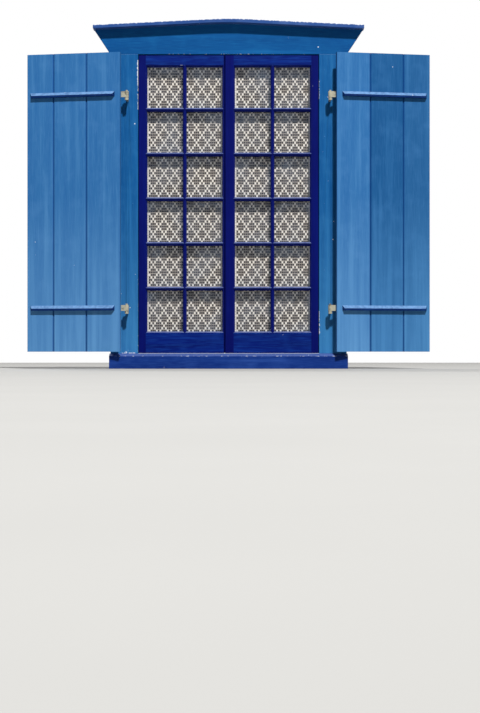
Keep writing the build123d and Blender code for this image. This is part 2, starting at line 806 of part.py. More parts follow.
def pinion_outline():
    """Outline of the pinion, as (x, z) points about its axis, with a tooth on +X."""
    base = pitch_radius * math.cos(math.radians(PRESSURE_ANGLE))
    root = pitch_radius - DEDENDUM * PINION_MODULE
    tip = pitch_radius + ADDENDUM * PINION_MODULE
    roll = math.tan(math.radians(PRESSURE_ANGLE))
    half = (tooth_pitch / 2 - TOOTH_BACKLASH) / 2 / pitch_radius
    base_half = half + roll - math.radians(PRESSURE_ANGLE)
    radii = [base + (tip - base) * i / FLANK_STEPS for i in range(FLANK_STEPS + 1)]
    flank = [(radius, involute_point(base, radius, base_half)) for radius in radii]
    flank = [(root, base_half)] + flank
    points = []
    for tooth in range(PINION_TEETH):
        centre = 2 * math.pi * tooth / PINION_TEETH
        lower = [(radius, centre - angle) for radius, angle in flank]
        upper = [(radius, centre + angle) for radius, angle in reversed(flank)]
        points += [(r * math.cos(a), r * math.sin(a)) for r, a in lower + upper]
    return points


def pinion():
    """Pinion on its spindle, which goes through the front of the case."""
    outline = [(BOLT_X + x, sash_middle + z) for x, z in pinion_outline()]
    wheel = inward(outline, rod_y - RACK_DEPTH / 2, rod_y + RACK_DEPTH / 2)
    end = sash_back + CASE_DEPTH + HANDLE_STANDOFF + SPINDLE_TIP
    return wheel + peg(BOLT_X, sash_middle, SPINDLE_RADIUS, sash_back + SPINDLE_BACK_GAP, end)


def rack_outline(back_x):
    """Rack beside the pinion's -X side, from its tail below to its neck above, as (x, z)."""
    slant = math.tan(math.radians(PRESSURE_ANGLE))
    half = (tooth_pitch / 2 - TOOTH_BACKLASH) / 2
    tip_x = -(pitch_radius - ADDENDUM * PINION_MODULE)
    root_x = -(pitch_radius + DEDENDUM * PINION_MODULE)
    tip_half = half - slant * ADDENDUM * PINION_MODULE
    root_half = half + slant * DEDENDUM * PINION_MODULE
    points = [(back_x, NECK_START), (back_x, -RACK_TAIL), (root_x, -RACK_TAIL)]
    count = int((RACK_TAIL + tooth_pitch) / tooth_pitch)
    for i in range(-count, 1):
        middle = (i + 0.5) * tooth_pitch
        if middle - root_half <= -RACK_TAIL:
            continue
        points += [
            (root_x, middle - root_half),
            (tip_x, middle - tip_half),
            (tip_x, middle + tip_half),
            (root_x, middle + root_half),
        ]
    return points + [(root_x, NECK_START)]


def bolt_rod(reach):
    """Rod with its rack beside the pinion, and its tip at the given height above the spindle."""
    back_x = -(pitch_radius + DEDENDUM * PINION_MODULE) - RACK_BACK
    depth = (rod_y - RACK_DEPTH / 2, rod_y + RACK_DEPTH / 2)
    rack = inward([(BOLT_X + x, sash_middle + z) for x, z in rack_outline(back_x)], *depth)
    sides = (BOLT_X + back_x, BOLT_X + ROD_RADIUS)
    neck = block(sides, depth, (sash_middle + NECK_START, sash_middle + NECK_END))
    return rack + neck + post(BOLT_X, rod_y, ROD_RADIUS, sash_middle + NECK_START, sash_middle + reach)


def upper_rod():
    """Rod from its rack in the case to just under the head jamb."""
    return bolt_rod(sash_lip_head - ROD_END_GAP - sash_middle)


def lower_rod():
    """Rod from its rack in the case to just over the sill."""
    rod = bolt_rod(sash_middle - sash_foot - ROD_END_GAP)
    return rod.rotate(Axis((BOLT_X, rod_y, sash_middle), (0, 1, 0)), 180)


def bolt_case():
    """Case over the pinion and racks, open to the stile behind it."""
    half_x = CASE_WIDTH / 2
    half_z = case_half_height
    front = sash_back + CASE_DEPTH
    shell = block(
        (BOLT_X - half_x, BOLT_X + half_x),
        (sash_back, front),
        (sash_middle - half_z, sash_middle + half_z),
    )
    rim = shell.faces().sort_by(Axis.Y)[-1].edges()
    shell = fillet(rim, CASE_WALL)
    cavity = block(
        (BOLT_X - half_x + CASE_WALL, BOLT_X + half_x - CASE_WALL),
        (sash_back, front - CASE_WALL),
        (sash_middle - half_z + CASE_WALL, sash_middle + half_z - CASE_WALL),
    )
    bore = ROD_RADIUS + ROD_CLEARANCE
    rods = post(BOLT_X, rod_y, bore, sash_middle - half_z, sash_middle + half_z)
    spindle = peg(BOLT_X, sash_middle, SPINDLE_RADIUS + ROD_CLEARANCE, sash_back, front)
    return shell - cavity - rods - spindle


def bolt_handle():
    """Olive-shaped handle across the end of the spindle."""
    seat = sash_back + CASE_DEPTH + HANDLE_STANDOFF
    centre = seat + HANDLE_NECK_LENGTH + HANDLE_RADIUS / 2
    half = HANDLE_LENGTH / 2
    middle = Plane(origin=(BOLT_X, centre, sash_middle), x_dir=(1, 0, 0), z_dir=(0, -1, 0))
    curve = EllipticalCenterArc((0, 0), HANDLE_RADIUS, half, -90, arc_size=180)
    profile = middle * make_face(curve + Line((0, half), (0, -half)))
    olive = revolve(profile, axis=Axis(middle.origin, (0, 0, 1)))
    neck = peg(BOLT_X, sash_middle, HANDLE_NECK_RADIUS, seat, centre)
    bore = peg(BOLT_X, sash_middle, SPINDLE_RADIUS + ROD_CLEARANCE, seat, seat + SPINDLE_TIP)
    return olive + neck - bore


def rod_guide(z):
    """Saddle that holds a rod against the stile."""
    top = rod_y + ROD_RADIUS + GUIDE_WALL
    body = block(
        (BOLT_X - GUIDE_WIDTH / 2, BOLT_X + GUIDE_WIDTH / 2),
        (sash_back, top),
        (z - GUIDE_HEIGHT / 2, z + GUIDE_HEIGHT / 2),
    )
    corners = body.edges().filter_by(Axis.Z).sort_by(Axis.Y)[-2:]
    body = fillet(corners, GUIDE_WALL)
    return body - post(BOLT_X, rod_y, ROD_RADIUS + ROD_CLEARANCE, z - GUIDE_HEIGHT, z + GUIDE_HEIGHT)


# All pieces by name


def left_hand(piece):
    """A right-hand solid, or a list of them, for the left-hand side."""
    if isinstance(piece, list):
        return [mirrored(one) for one in piece]
    return mirrored(piece)


def both_hands(pieces, stem=""):
    """Right-hand and left-hand pieces by their names."""
    right = {f"right_{stem}{name}": piece for name, piece in pieces.items()}
    left = {f"left_{stem}{name}": left_hand(piece) for name, piece in pieces.items()}
    return right | left


def frame_pieces():
    """Pieces of the fixed frame."""
    single = {
        "sill": sill(),
        "head_jamb": head_jamb(),
        "head_board": head_board(),
        "cap_board": cap_board(),
        "bolt_keepers": keepers(),
    }
    pairs = {
        "jamb": side_jamb(),
        "casing": casing(),
        "pintles": [pintle(z) for z in hinge_heights().values()],
        "frame_hinges": [frame_hinge(z) for z in sash_hinge_heights()],
    }
    return single | both_hands(pairs)


def shutter_pieces():
    """Pieces of both shutters."""
    pieces = shutter_boards()
    for name, z in hinge_heights().items():
        pieces[f"{name}_batten"] = batten(z)
        pieces[f"{name}_strap"] = strap(z)
    pieces["strap_screws"] = strap_screws()
    return both_hands(pieces, "shutter_")


def sash_pieces(stile):
    """Pieces of a sash on the given meeting stile."""
    outer = hinge_stile()
    stiles = [outer, stile]
    lip = sash_lip_head - sash_head
    top = rail(TOP_RAIL_HEIGHT, lip, sight_head, 1, stiles)
    bottom = rail(BOTTOM_RAIL_HEIGHT, 0, sight_foot, -1, stiles)
    uprights = upright_bars([top, bottom])
    return {
        "hinge_stile": outer,
        "meeting_stile": stile,
        "top_rail": top,
        "bottom_rail": bottom,
        "upright_bar": uprights,
        "level_bars": level_bars(uprights, stiles),
        "panes": [pane(bay) for bay in bays()],
        "putty": [putty(bay) for bay in bays()],
        "hinges": [sash_hinge(z) for z in sash_hinge_heights()],
        "curtain_rods": [curtain_rod(z) for z in (curtain_foot, curtain_head)],
        "lace_panel": lace_panel(),
        "lining": lining(),
    }


def sashes():
    """Pieces of the right-hand sash, which covers the joint, and of the left-hand sash."""
    half_gap = MEETING_GAP / 2
    right = meeting_stile(-COVER_LAP, half_gap + MEETING_LINE_X, cover_back)
    left = meeting_stile(
        COVER_LAP + COVER_LAP_GAP, half_gap - MEETING_LINE_X, cover_back + LAP_FACE_GAP
    )
    pieces = {f"right_sash_{name}": piece for name, piece in sash_pieces(right).items()}
    for name, piece in sash_pieces(left).items():
        pieces[f"left_sash_{name}"] = left_hand(piece)
    return pieces


def bolt_pieces():
    """Pieces of the bolt."""
    heights = [sash_middle + side * offset for side in (-1, 1) for offset in GUIDE_OFFSETS]
    return {
        "bolt_case": bolt_case(),
        "bolt_pinion": pinion(),
        "bolt_handle": bolt_handle(),
        "bolt_upper_rod": upper_rod(),
        "bolt_lower_rod": lower_rod(),
        "bolt_guides": [rod_guide(z) for z in heights],
    }


def write(name, piece):
    """Write one node, whose solids stay apart where it is a list."""
    solids = piece if isinstance(piece, list) else [piece]
    shapes = [solid for one in solids for solid in one.solids()]
    whole = shapes[0] if len(shapes) == 1 else Compound(children=shapes)
    export_step(whole, f"parts/{name}.step")


def main():
    """Write every piece."""
    os.makedirs("parts", exist_ok=True)
    pieces = frame_pieces() | shutter_pieces() | sashes() | bolt_pieces()
    for name, piece in pieces.items():
        write(name, piece)


main()
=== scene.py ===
import logging
import math
from dataclasses import dataclass, field, replace
from enum import Enum
from typing import Iterable, Sequence

import bpy
import numpy as np
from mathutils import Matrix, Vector


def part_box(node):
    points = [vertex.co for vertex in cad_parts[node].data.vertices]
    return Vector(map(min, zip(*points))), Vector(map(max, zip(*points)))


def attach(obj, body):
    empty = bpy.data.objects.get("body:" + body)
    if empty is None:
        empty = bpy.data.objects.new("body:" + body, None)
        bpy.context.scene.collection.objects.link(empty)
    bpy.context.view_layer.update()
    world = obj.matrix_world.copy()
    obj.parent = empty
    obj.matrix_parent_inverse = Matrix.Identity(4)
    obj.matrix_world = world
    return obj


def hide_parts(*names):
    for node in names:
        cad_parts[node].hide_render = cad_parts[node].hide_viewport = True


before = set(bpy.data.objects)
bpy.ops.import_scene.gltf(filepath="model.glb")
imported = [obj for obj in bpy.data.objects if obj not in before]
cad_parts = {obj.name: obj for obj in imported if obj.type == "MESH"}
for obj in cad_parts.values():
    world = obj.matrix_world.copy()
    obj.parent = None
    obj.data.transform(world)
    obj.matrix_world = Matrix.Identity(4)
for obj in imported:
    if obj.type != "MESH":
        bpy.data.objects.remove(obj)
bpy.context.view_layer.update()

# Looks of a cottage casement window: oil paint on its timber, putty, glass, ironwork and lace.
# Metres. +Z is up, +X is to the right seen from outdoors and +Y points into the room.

LOG = logging.getLogger("casement")
MM = 0.001
# Points nearer to each other than this are one point
MERGE_REACH = 0.01 * MM
# Name of the map, in metres, that the threads of a cloth follow
CLOTH_MAP = "cloth"
# Steps across an eased arris, and the sharpest turn that stays as it is
ARRIS_STEPS = 2
ARRIS_ANGLE = math.radians(30)

Socket = bpy.types.NodeSocket
Tree = bpy.types.NodeTree
Vector3 = tuple[float, float, float]
Pair = tuple[float, float]


class Hand(Enum):
    """Side of the window, seen from outdoors, as the sign of its X."""

    LEFT = -1
    RIGHT = 1

    @property
    def stem(self) -> str:
        """Start of the names of this side's pieces."""
        return self.name.lower()


class Grain(Enum):
    """Way that the wood and the brush run, as the squeeze of a pattern along X, Y and Z."""

    UPRIGHT = (1.0, 1.0, 0.04)
    LEVEL = (0.04, 1.0, 1.0)


class Axis(Enum):
    """Direction that an arris runs along, as its place in a vector."""

    X = 0
    Y = 1
    Z = 2


# Shader nodes


def linear(code: str) -> tuple[float, float, float, float]:
    """Turn an sRGB colour into Blender's linear one.

    Args:
        code: The colour as #RRGGBB.

    Returns:
        Linear red, green, blue and a full alpha.
    """
    srgb = np.array([int(code[i : i + 2], 16) for i in (1, 3, 5)]) / 255
    rgb = np.where(srgb <= 0.04045, srgb / 12.92, ((srgb + 0.055) / 1.055) ** 2.4)
    return (*rgb.tolist(), 1.0)


def add(
    tree: Tree, kind: str, inputs: dict | None = None, out: int | str | None = None, **settings
) -> bpy.types.Node | Socket:
    """Add a node with its settings, its input values and its links.

    Args:
        tree: Node tree of the material.
        kind: Node type without its ShaderNode start.
        inputs: Value or linked socket for each input, by name or number.
        out: Name or number of the output that the caller goes on with, or None for the node.
        **settings: Properties of the node.

    Returns:
        The output asked for, or the new node.
    """
    node = tree.nodes.new(f"ShaderNode{kind}")
    for name, value in settings.items():
        setattr(node, name, value)
    for key, value in (inputs or {}).items():
        if isinstance(value, Socket):
            tree.links.new(value, node.inputs[key])
        else:
            node.inputs[key].default_value = value
    return node if out is None else node.outputs[out]


@dataclass(frozen=True)
class Finish:
    """Finish of a surface, made into a material once.

    Args:
        name: Name of the material, after the real one and how it was made.
    """

    name: str

    def material(self) -> bpy.types.Material:
        """Return this finish as a material."""
        return bpy.data.materials.get(self.name) or self.make()

    def blank(self, sockets: dict) -> tuple[bpy.types.Material, Tree, bpy.types.Node]:
        """Start a material with a shader on its output.

        Args:
            sockets: Constants that are set on the shader's own sockets.

        Returns:
            The material, its node tree and its shader.
        """
        material = bpy.data.materials.new(self.name)
        material.use_nodes = True
        tree = material.node_tree
        tree.nodes.clear()
        shader = add(tree, "BsdfPrincipled", sockets)
        add(tree, "OutputMaterial", {"Surface": shader.outputs[0]})
        return material, tree, shader

    def link(self, tree: Tree, shader: bpy.types.Node, looks: dict[str, Socket]) -> None:
        """Let patterns drive the shader.

        Args:
            tree: Node tree of the material.
            shader: Its shader.
            looks: Output of a pattern for each of the shader's sockets that it drives.
        """
        for name, value in looks.items():
            tree.links.new(value, shader.inputs[name])

    def make(self) -> bpy.types.Material:
        """Build the material."""
        raise NotImplementedError


@dataclass(frozen=True)
class WornEdge:
    """Arris where paint has chipped off, as a straight line along one axis.

    Args:
        at: A point of the line.
        run: Axis that the line runs along.
        span: Lowest and highest place on that axis.
        width: Reach of the widest chip from the line.
        share: Share of the line that is chipped, 0 to 1.
        fall: Drop of the line for each metre from the window's middle.
    """

    at: Vector3
    run: Axis
    span: Pair
    width: float = 5 * MM
    share: float = 0.5
    fall: float = 0.0

    # Noise below which the paint of a sound arris holds, how much lower that is on one that is
    # chipped all along, and the noise at which a chip has its full width
    HOLDS = 0.62
    HOLDS_LESS = 0.36
    FULL_CHIP = 0.7

    def mask(self, tree: Tree, place: Socket, patch: Socket) -> Socket:
        """Mark the chips: closer to the line than a patchy reach, within the span.

        Args:
            tree: Node tree of the material.
            place: Object coordinates.
            patch: Noise that says where the paint holds badly.

        Returns:
            The socket that is 1 on a chip and 0 beside it.
        """
        parts = add(tree, "SeparateXYZ", {0: place}).outputs
        if self.fall:
            side = add(tree, "Math", {0: parts[0]}, 0, operation="ABSOLUTE")
            level = {0: side, 1: self.fall, 2: parts[2]}
            raised = add(tree, "Math", level, 0, operation="MULTIPLY_ADD")
            place = add(tree, "CombineXYZ", {0: parts[0], 1: parts[1], 2: raised}, 0)
        keep = [0.0 if i == self.run.value else 1.0 for i in range(3)]
        away = add(tree, "VectorMath", {0: place, 1: self.at}, 0, operation="SUBTRACT")
        across = add(tree, "VectorMath", {0: away, 1: keep}, 0, operation="MULTIPLY")
        distance = add(tree, "VectorMath", {0: across}, "Value", operation="LENGTH")
        holds = self.HOLDS - self.HOLDS_LESS * self.share
        chip = {0: patch, 1: holds, 2: self.FULL_CHIP, 3: 0.0, 4: self.width}
        reach = add(tree, "MapRange", chip, 0)
        near = add(tree, "Math", {0: distance, 1: reach}, 0, operation="LESS_THAN")
        middle, half = sum(self.span) / 2, (self.span[1] - self.span[0]) / 2
        within = {0: parts[self.run.value], 1: middle, 2: half}
        along = add(tree, "Math", within, 0, operation="COMPARE")
        return add(tree, "Math", {0: near, 1: along}, 0, operation="MULTIPLY")


@dataclass(frozen=True)
class OilPaint(Finish):
    """Brushed oil paint on sawn and planed softwood.

    The brush leaves fine ridges along the wood, and bands of slightly thicker and thinner colour.
    Slopes that look upwards turn paler, partly as chalk from sun and rain and partly as painted light
    from above, and sun and rain lift chips off the arrises.

    Args:
        colour: Colour of a full coat.
        thin: Colour where the coat is thin or dirty.
        chalk: Colour of the chalky marks of the brush.
        grain: Way that the brush ran.
        banding: Strength of the bands, 0 to 1.
        streaks: Strength of the fine marks of the brush, 0 to 1.
        bloom: Colour of slopes that look upwards, part chalking and part painted light from above.
        dirt: Colour of the painted shade in the joints between boards.
        grooves: Whether those joints carry painted shade.
        specks: Share of small cells with a pale speck, 0 to 1.
        gloss: Specular level, low because chalked paint has lost its skin of oil.
        faded: Share of the bleached colour at the window's foot, where sun and rain reach most.
        bleach: Colour that the sun leaves.
        edges: Arrises with chips.
    """

    colour: str = "#2060A2"
    thin: str = "#164E8E"
    chalk: str = "#4A82BC"
    grain: Grain = Grain.UPRIGHT
    banding: float = 0.6
    streaks: float = 0.35
    bloom: str = "#7CA3CE"
    dirt: str = "#0C3F7E"
    grooves: bool = False
    specks: float = 0.12
    gloss: float = 0.06
    faded: float = 0.0
    bleach: str = "#5B90C2"
    edges: tuple[WornEdge, ...] = ()

    # Sizes of what the pattern is made of, as its scale on coordinates in metres. The marks and
    # ridges of a real brush are finer, and are drawn as coarse as they need to show
    BAND_SCALE = 1 / (28 * MM)
    MARK_SCALE = 1 / (3 * MM)
    RIDGE_SCALE = 1 / (0.9 * MM)
    BLOTCH_SCALE = 1 / (90 * MM)
    SPECK_SCALE = 1 / (26 * MM)
    CHIP_SCALE = 1 / (14 * MM)
    WEAR_SCALE = 1 / (17 * MM)
    SPECK_RADII = (0.8 * MM, 3.2 * MM)
    BRUSH_RELIEF = 0.35 * MM
    CHIP_DEPTH = 0.8
    UNDERCOAT = "#CFD4E0"
    # Share of the ridges in the relief beside the brush marks
    RIDGE_SHARE = 0.35
    # Roughness between the brush marks and on them, and how much more the undercoat has
    ROUGHNESS = (0.38, 0.56)
    BARE_ROUGHER = 0.4
    # Heights between which the fading grows, in metres, and its least and full share in patches
    FADE_FROM = 0.9
    FADE_TO = 0.1
    FADE_SHARES = (0.6, 1.0)
    # How far upwards a slope looks that starts to pale and is fully pale, and the shares of the pale
    # colour, part chalk and part painted light
    PALING_SLOPE = (0.25, 0.6)
    UPWARD_LIGHT_SHARES = (0.55, 0.97)
    # Share of the painted shade on the slants of a joint, and how far sideways a slant and an edge
    # look
    GROOVE_SHADE_SHARE = 0.7
    JOINT_SLANT = (0.35, 0.5)
    BOARD_EDGE = (0.93, 0.97)

    def coat(self, tree: Tree, place: Socket, drawn: Socket, marks: Socket) -> Socket:
        """Mix the coat's colour from its bands, blotches and brush marks.

        Args:
            tree: Node tree of the material.
            place: Object coordinates.
            drawn: Object coordinates squeezed along the brush's way.
            marks: Noise of the brush marks.

        Returns:
            The socket with the colour.
        """
        bands = add(tree, "TexNoise", {"Vector": drawn, "Scale": self.BAND_SCALE, "Detail": 2.0}, 0)
        blotch = add(tree, "TexNoise", {"Vector": place, "Scale": self.BLOTCH_SCALE, "Detail": 3.0}, 0)
        thin, chalk = linear(self.thin), linear(self.chalk)
        colour = linear(self.colour)
        # Each row is a noise, two of its values, the share of the colour at each, and the colour
        for value, low, high, start, end, over in (
            (bands, 0.36, 0.66, self.banding, 0.0, thin),
            (bands, 0.56, 0.8, 0.0, self.banding * 0.7, chalk),
            (blotch, 0.5, 0.78, 0.0, self.banding * 0.5, chalk),
            (marks, 0.48, 0.78, 0.0, self.streaks, chalk),
        ):
            share = add(tree, "MapRange", {0: value, 1: low, 2: high, 3: start, 4: end}, 0)
            colour = add(tree, "Mix", {0: share, 6: colour, 7: over}, 2, data_type="RGBA")
        height = add(tree, "SeparateXYZ", {0: place}, 2)
        fade = {0: height, 1: self.FADE_FROM, 2: self.FADE_TO, 3: 0.0, 4: self.faded}
        foot = add(tree, "MapRange", fade, 0)
        least, most = self.FADE_SHARES
        patchy = add(tree, "MapRange", {0: bands, 1: 0.35, 2: 0.65, 3: least, 4: most}, 0)
        share = add(tree, "Math", {0: foot, 1: patchy}, 0, operation="MULTIPLY")
        return add(tree, "Mix", {0: share, 6: colour, 7: linear(self.bleach)}, 2, data_type="RGBA")

    def weathered(self, tree: Tree, place: Socket, facing: Socket, colour: Socket) -> Socket:
        """Pale the slopes that look upwards, as chalk and as painted light from above, and paint shade
        into the joints between boards.

        Args:
            tree: Node tree of the material.
            place: Object coordinates.
            facing: The surface's own direction.
            colour: Colour of the coat.

        Returns:
            The socket with the colour.
        """
        parts = add(tree, "SeparateXYZ", {0: facing}).outputs
        worn = add(tree, "TexNoise", {"Vector": place, "Scale": self.WEAR_SCALE, "Detail": 4.0}, 0)
        # Painted light and chalk: slopes that look upwards are mixed towards a paler colour
        low, high = self.PALING_SLOPE
        upward = add(tree, "MapRange", {0: parts[2], 1: low, 2: high}, 0)
        least, most = self.UPWARD_LIGHT_SHARES
        patchy = add(tree, "MapRange", {0: worn, 1: 0.3, 2: 0.6, 3: least, 4: most}, 0)
        share = add(tree, "Math", {0: upward, 1: patchy}, 0, operation="MULTIPLY")
        colour = add(tree, "Mix", {0: share, 6: colour, 7: linear(self.bloom)}, 2, data_type="RGBA")
        if not self.grooves:
            return colour
        # Painted shade: the slanted faces of the V joints are darkened
        sideways = add(tree, "Math", {0: parts[0]}, 0, operation="ABSOLUTE")
        low, high = self.JOINT_SLANT
        slant = {0: sideways, 1: low, 2: high, 3: 0.0, 4: self.GROOVE_SHADE_SHARE}
        slanted = add(tree, "MapRange", slant, 0)
        low, high = self.BOARD_EDGE
        inside = add(tree, "MapRange", {0: sideways, 1: low, 2: high, 3: 1.0, 4: 0.0}, 0)
        share = add(tree, "Math", {0: slanted, 1: inside}, 0, operation="MULTIPLY")
        return add(tree, "Mix", {0: share, 6: colour, 7: linear(self.dirt)}, 2, data_type="RGBA")

    def chips(self, tree: Tree, place: Socket) -> Socket:
        """Mark the specks and the chipped arrises.

        Args:
            tree: Node tree of the material.
            place: Object coordinates.

        Returns:
            The socket that is 1 where the paint is gone and 0 elsewhere.
        """
        cells = add(tree, "TexVoronoi", {"Vector": place, "Scale": self.SPECK_SCALE}).outputs
        draw = add(tree, "SeparateColor", {0: cells["Color"]}).outputs
        least, most = (radius * self.SPECK_SCALE for radius in self.SPECK_RADII)
        size = add(tree, "MapRange", {0: draw[1], 3: least, 4: most}, 0)
        speck = add(tree, "Math", {0: cells["Distance"], 1: size}, 0, operation="LESS_THAN")
        chosen = add(tree, "Math", {0: draw[0], 1: self.specks}, 0, operation="LESS_THAN")
        total = add(tree, "Math", {0: speck, 1: chosen}, 0, operation="MULTIPLY")
        noise = {"Vector": place, "Scale": self.CHIP_SCALE, "Detail": 5.0, "Roughness": 0.65}
        patch = add(tree, "TexNoise", noise, 0)
        for edge in self.edges:
            chip = edge.mask(tree, place, patch)
            total = add(tree, "Math", {0: total, 1: chip}, 0, operation="MAXIMUM")
        return total

    def make(self) -> bpy.types.Material:
        """Build the material.

        Returns:
            The new material.
        """
        material, tree, shader = self.blank({"IOR": 1.5, "Specular IOR Level": self.gloss})
        source = add(tree, "TexCoord").outputs
        place, facing = source["Object"], source["Normal"]
        drawn = add(tree, "Mapping", {"Vector": place, "Scale": self.grain.value}, 0)
        marks = add(tree, "TexNoise", {"Vector": drawn, "Scale": self.MARK_SCALE, "Detail": 4.0}, 0)
        ridges = add(tree, "TexNoise", {"Vector": drawn, "Scale": self.RIDGE_SCALE, "Detail": 2.0}, 0)
        coat = self.weathered(tree, place, facing, self.coat(tree, place, drawn, marks))
        chips = self.chips(tree, place)
        bare = linear(self.UNDERCOAT)
        colour = add(tree, "Mix", {0: chips, 6: coat, 7: bare}, 2, data_type="RGBA")
        least, most = self.ROUGHNESS
        rough = add(tree, "MapRange", {0: marks, 1: 0.3, 2: 0.7, 3: least, 4: most}, 0)
        bared = {0: chips, 1: self.BARE_ROUGHER, 2: rough}
        rough = add(tree, "Math", bared, 0, operation="MULTIPLY_ADD")
        ridged = {0: ridges, 1: self.RIDGE_SHARE, 2: marks}
        height = add(tree, "Math", ridged, 0, operation="MULTIPLY_ADD")
        sunk = {0: chips, 1: -self.CHIP_DEPTH, 2: height}
        height = add(tree, "Math", sunk, 0, operation="MULTIPLY_ADD")
        bump = {"Height": height, "Strength": 0.5, "Distance": self.BRUSH_RELIEF}
        relief = add(tree, "Bump", bump, 0)
        self.link(tree, shader, {"Base Color": colour, "Roughness": rough, "Normal": relief})
        return material


@dataclass(frozen=True)
class Putty(Finish):
    """Linseed putty, painted over with the sash and chalked by the weather.

    Slopes that look upwards have lost their gloss and are paler, partly as chalk and partly as painted
    light from above, and the rest is still blue.

    Args:
        colour: Colour of the paint.
        bloom: Colour of the upward slopes, part chalking and part painted light.
    """

    colour: str = "#041266"
    bloom: str = "#656F96"

    PATCH_SCALE = 1 / (18 * MM)
    RELIEF = 0.6 * MM
    # How far upwards a slope looks that starts to pale and is fully pale, the shares of the pale
    # colour (part chalk, part painted light) on it, and the most that is rubbed off anywhere
    PALING_SLOPE = (0.25, 0.55)
    UPWARD_LIGHT_SHARES = (0.45, 1.0)
    RUBBED = 0.08

    def make(self) -> bpy.types.Material:
        """Build the material.

        Returns:
            The new material.
        """
        sockets = {"IOR": 1.5, "Roughness": 0.6, "Specular IOR Level": 0.08}
        material, tree, shader = self.blank(sockets)
        source = add(tree, "TexCoord").outputs
        noise = {"Vector": source["Object"], "Scale": self.PATCH_SCALE, "Detail": 5.0}
        worn = add(tree, "TexNoise", noise, 0)
        # Painted light and chalk: upward slopes turn paler, which draws a pale line under each pane
        upward = add(tree, "SeparateXYZ", {0: source["Normal"]}, 2)
        low, high = self.PALING_SLOPE
        sloping = add(tree, "MapRange", {0: upward, 1: low, 2: high}, 0)
        least, most = self.UPWARD_LIGHT_SHARES
        patchy = add(tree, "MapRange", {0: worn, 1: 0.3, 2: 0.6, 3: least, 4: most}, 0)
        chalked = add(tree, "Math", {0: sloping, 1: patchy}, 0, operation="MULTIPLY")
        rubbed = add(tree, "MapRange", {0: worn, 1: 0.5, 2: 0.75, 3: 0.0, 4: self.RUBBED}, 0)
        share = add(tree, "Math", {0: chalked, 1: rubbed}, 0, operation="MAXIMUM")
        under, over = linear(self.colour), linear(self.bloom)
        colour = add(tree, "Mix", {0: share, 6: under, 7: over}, 2, data_type="RGBA")
        relief = add(tree, "Bump", {"Height": worn, "Strength": 0.5, "Distance": self.RELIEF}, 0)
        self.link(tree, shader, {"Base Color": colour, "Normal": relief})
        return material


@dataclass(frozen=True)
class DrawnGlass(Finish):
    """Old drawn sheet glass, clear, with a film of dust that is thicker in patches.

    Args:
        film: Colour of the dust.
        cover: Least and most of the light that the dust keeps back.
    """

    film: str = "#7F93AE"
    cover: Pair = (0.03, 0.12)

    DUST_SCALE = 1 / (120 * MM)
    WAVE_SCALE = 1 / (60 * MM)
    WAVE_RELIEF = 0.5 * MM

    def make(self) -> bpy.types.Material:
        """Build the material.

        Returns:
            The new material.
        """
        sockets = {"Base Color": linear(self.film), "Roughness": 0.03, "IOR": 1.52}
        material, tree, shader = self.blank(sockets)
        place = add(tree, "TexCoord", out="Object")
        noise = {"Vector": place, "Scale": self.DUST_SCALE, "Detail": 4.0}
        dust = add(tree, "TexNoise", noise, 0)
        least, most = self.cover
        veil = add(tree, "MapRange", {0: dust, 1: 0.4, 2: 0.75, 3: least, 4: most}, 0)
        wave = add(tree, "TexNoise", {"Vector": place, "Scale": self.WAVE_SCALE}, 0)
        bump = {"Height": wave, "Strength": 0.2, "Distance": self.WAVE_RELIEF}
        relief = add(tree, "Bump", bump, 0)
        self.link(tree, shader, {"Alpha": veil, "Normal": relief})
        return material


@dataclass(frozen=True)
class Metal(Finish):
    """Metal with a mottled skin.

    Args:
        bright: Colour of the clean metal.
        skin: Colour of what has grown on it.
        cover: Share of the surface that the skin covers, 0 to 1.
        roughness: Roughness of the clean metal.
        pit: Size of the pits or grains in metres.
        depth: Depth of the pits in metres.
        shine: How metallic the skin is, 0 to 1.
    """

    bright: str = "#C8C9CB"
    skin: str = "#8B8D90"
    cover: float = 0.5
    roughness: float = 0.35
    pit: float = 2 * MM
    depth: float = 0.1 * MM
    shine: float = 1.0

    PITS_PER_PATCH = 9
    SKIN_ROUGHNESS = 0.75
    # Noise at which a thin skin starts and is closed, and how much lower a full one has both
    SKIN_EDGE = (0.62, 0.7)
    SKIN_SPREAD = 0.3

    def make(self) -> bpy.types.Material:
        """Build the material.

        Returns:
            The new material.
        """
        material, tree, shader = self.blank({})
        place = add(tree, "TexCoord", out="Object")
        scale = 1 / (self.PITS_PER_PATCH * self.pit)
        noise = {"Vector": place, "Scale": scale, "Detail": 5.0, "Roughness": 0.6}
        patches = add(tree, "TexNoise", noise, 0)
        pits = add(tree, "TexNoise", {"Vector": place, "Scale": 1 / self.pit, "Detail": 3.0}, 0)
        low, high = (edge - self.SKIN_SPREAD * self.cover for edge in self.SKIN_EDGE)
        skin = add(tree, "MapRange", {0: patches, 1: low, 2: high}, 0)
        clean, grown = linear(self.bright), linear(self.skin)
        colour = add(tree, "Mix", {0: skin, 6: clean, 7: grown}, 2, data_type="RGBA")
        metal = add(tree, "MapRange", {0: skin, 3: 1.0, 4: self.shine}, 0)
        rough = add(tree, "MapRange", {0: skin, 3: self.roughness, 4: self.SKIN_ROUGHNESS}, 0)
        relief = add(tree, "Bump", {"Height": pits, "Strength": 0.6, "Distance": self.depth}, 0)
        looks = {"Base Color": colour, "Metallic": metal, "Roughness": rough, "Normal": relief}
        self.link(tree, shader, looks)
        return material


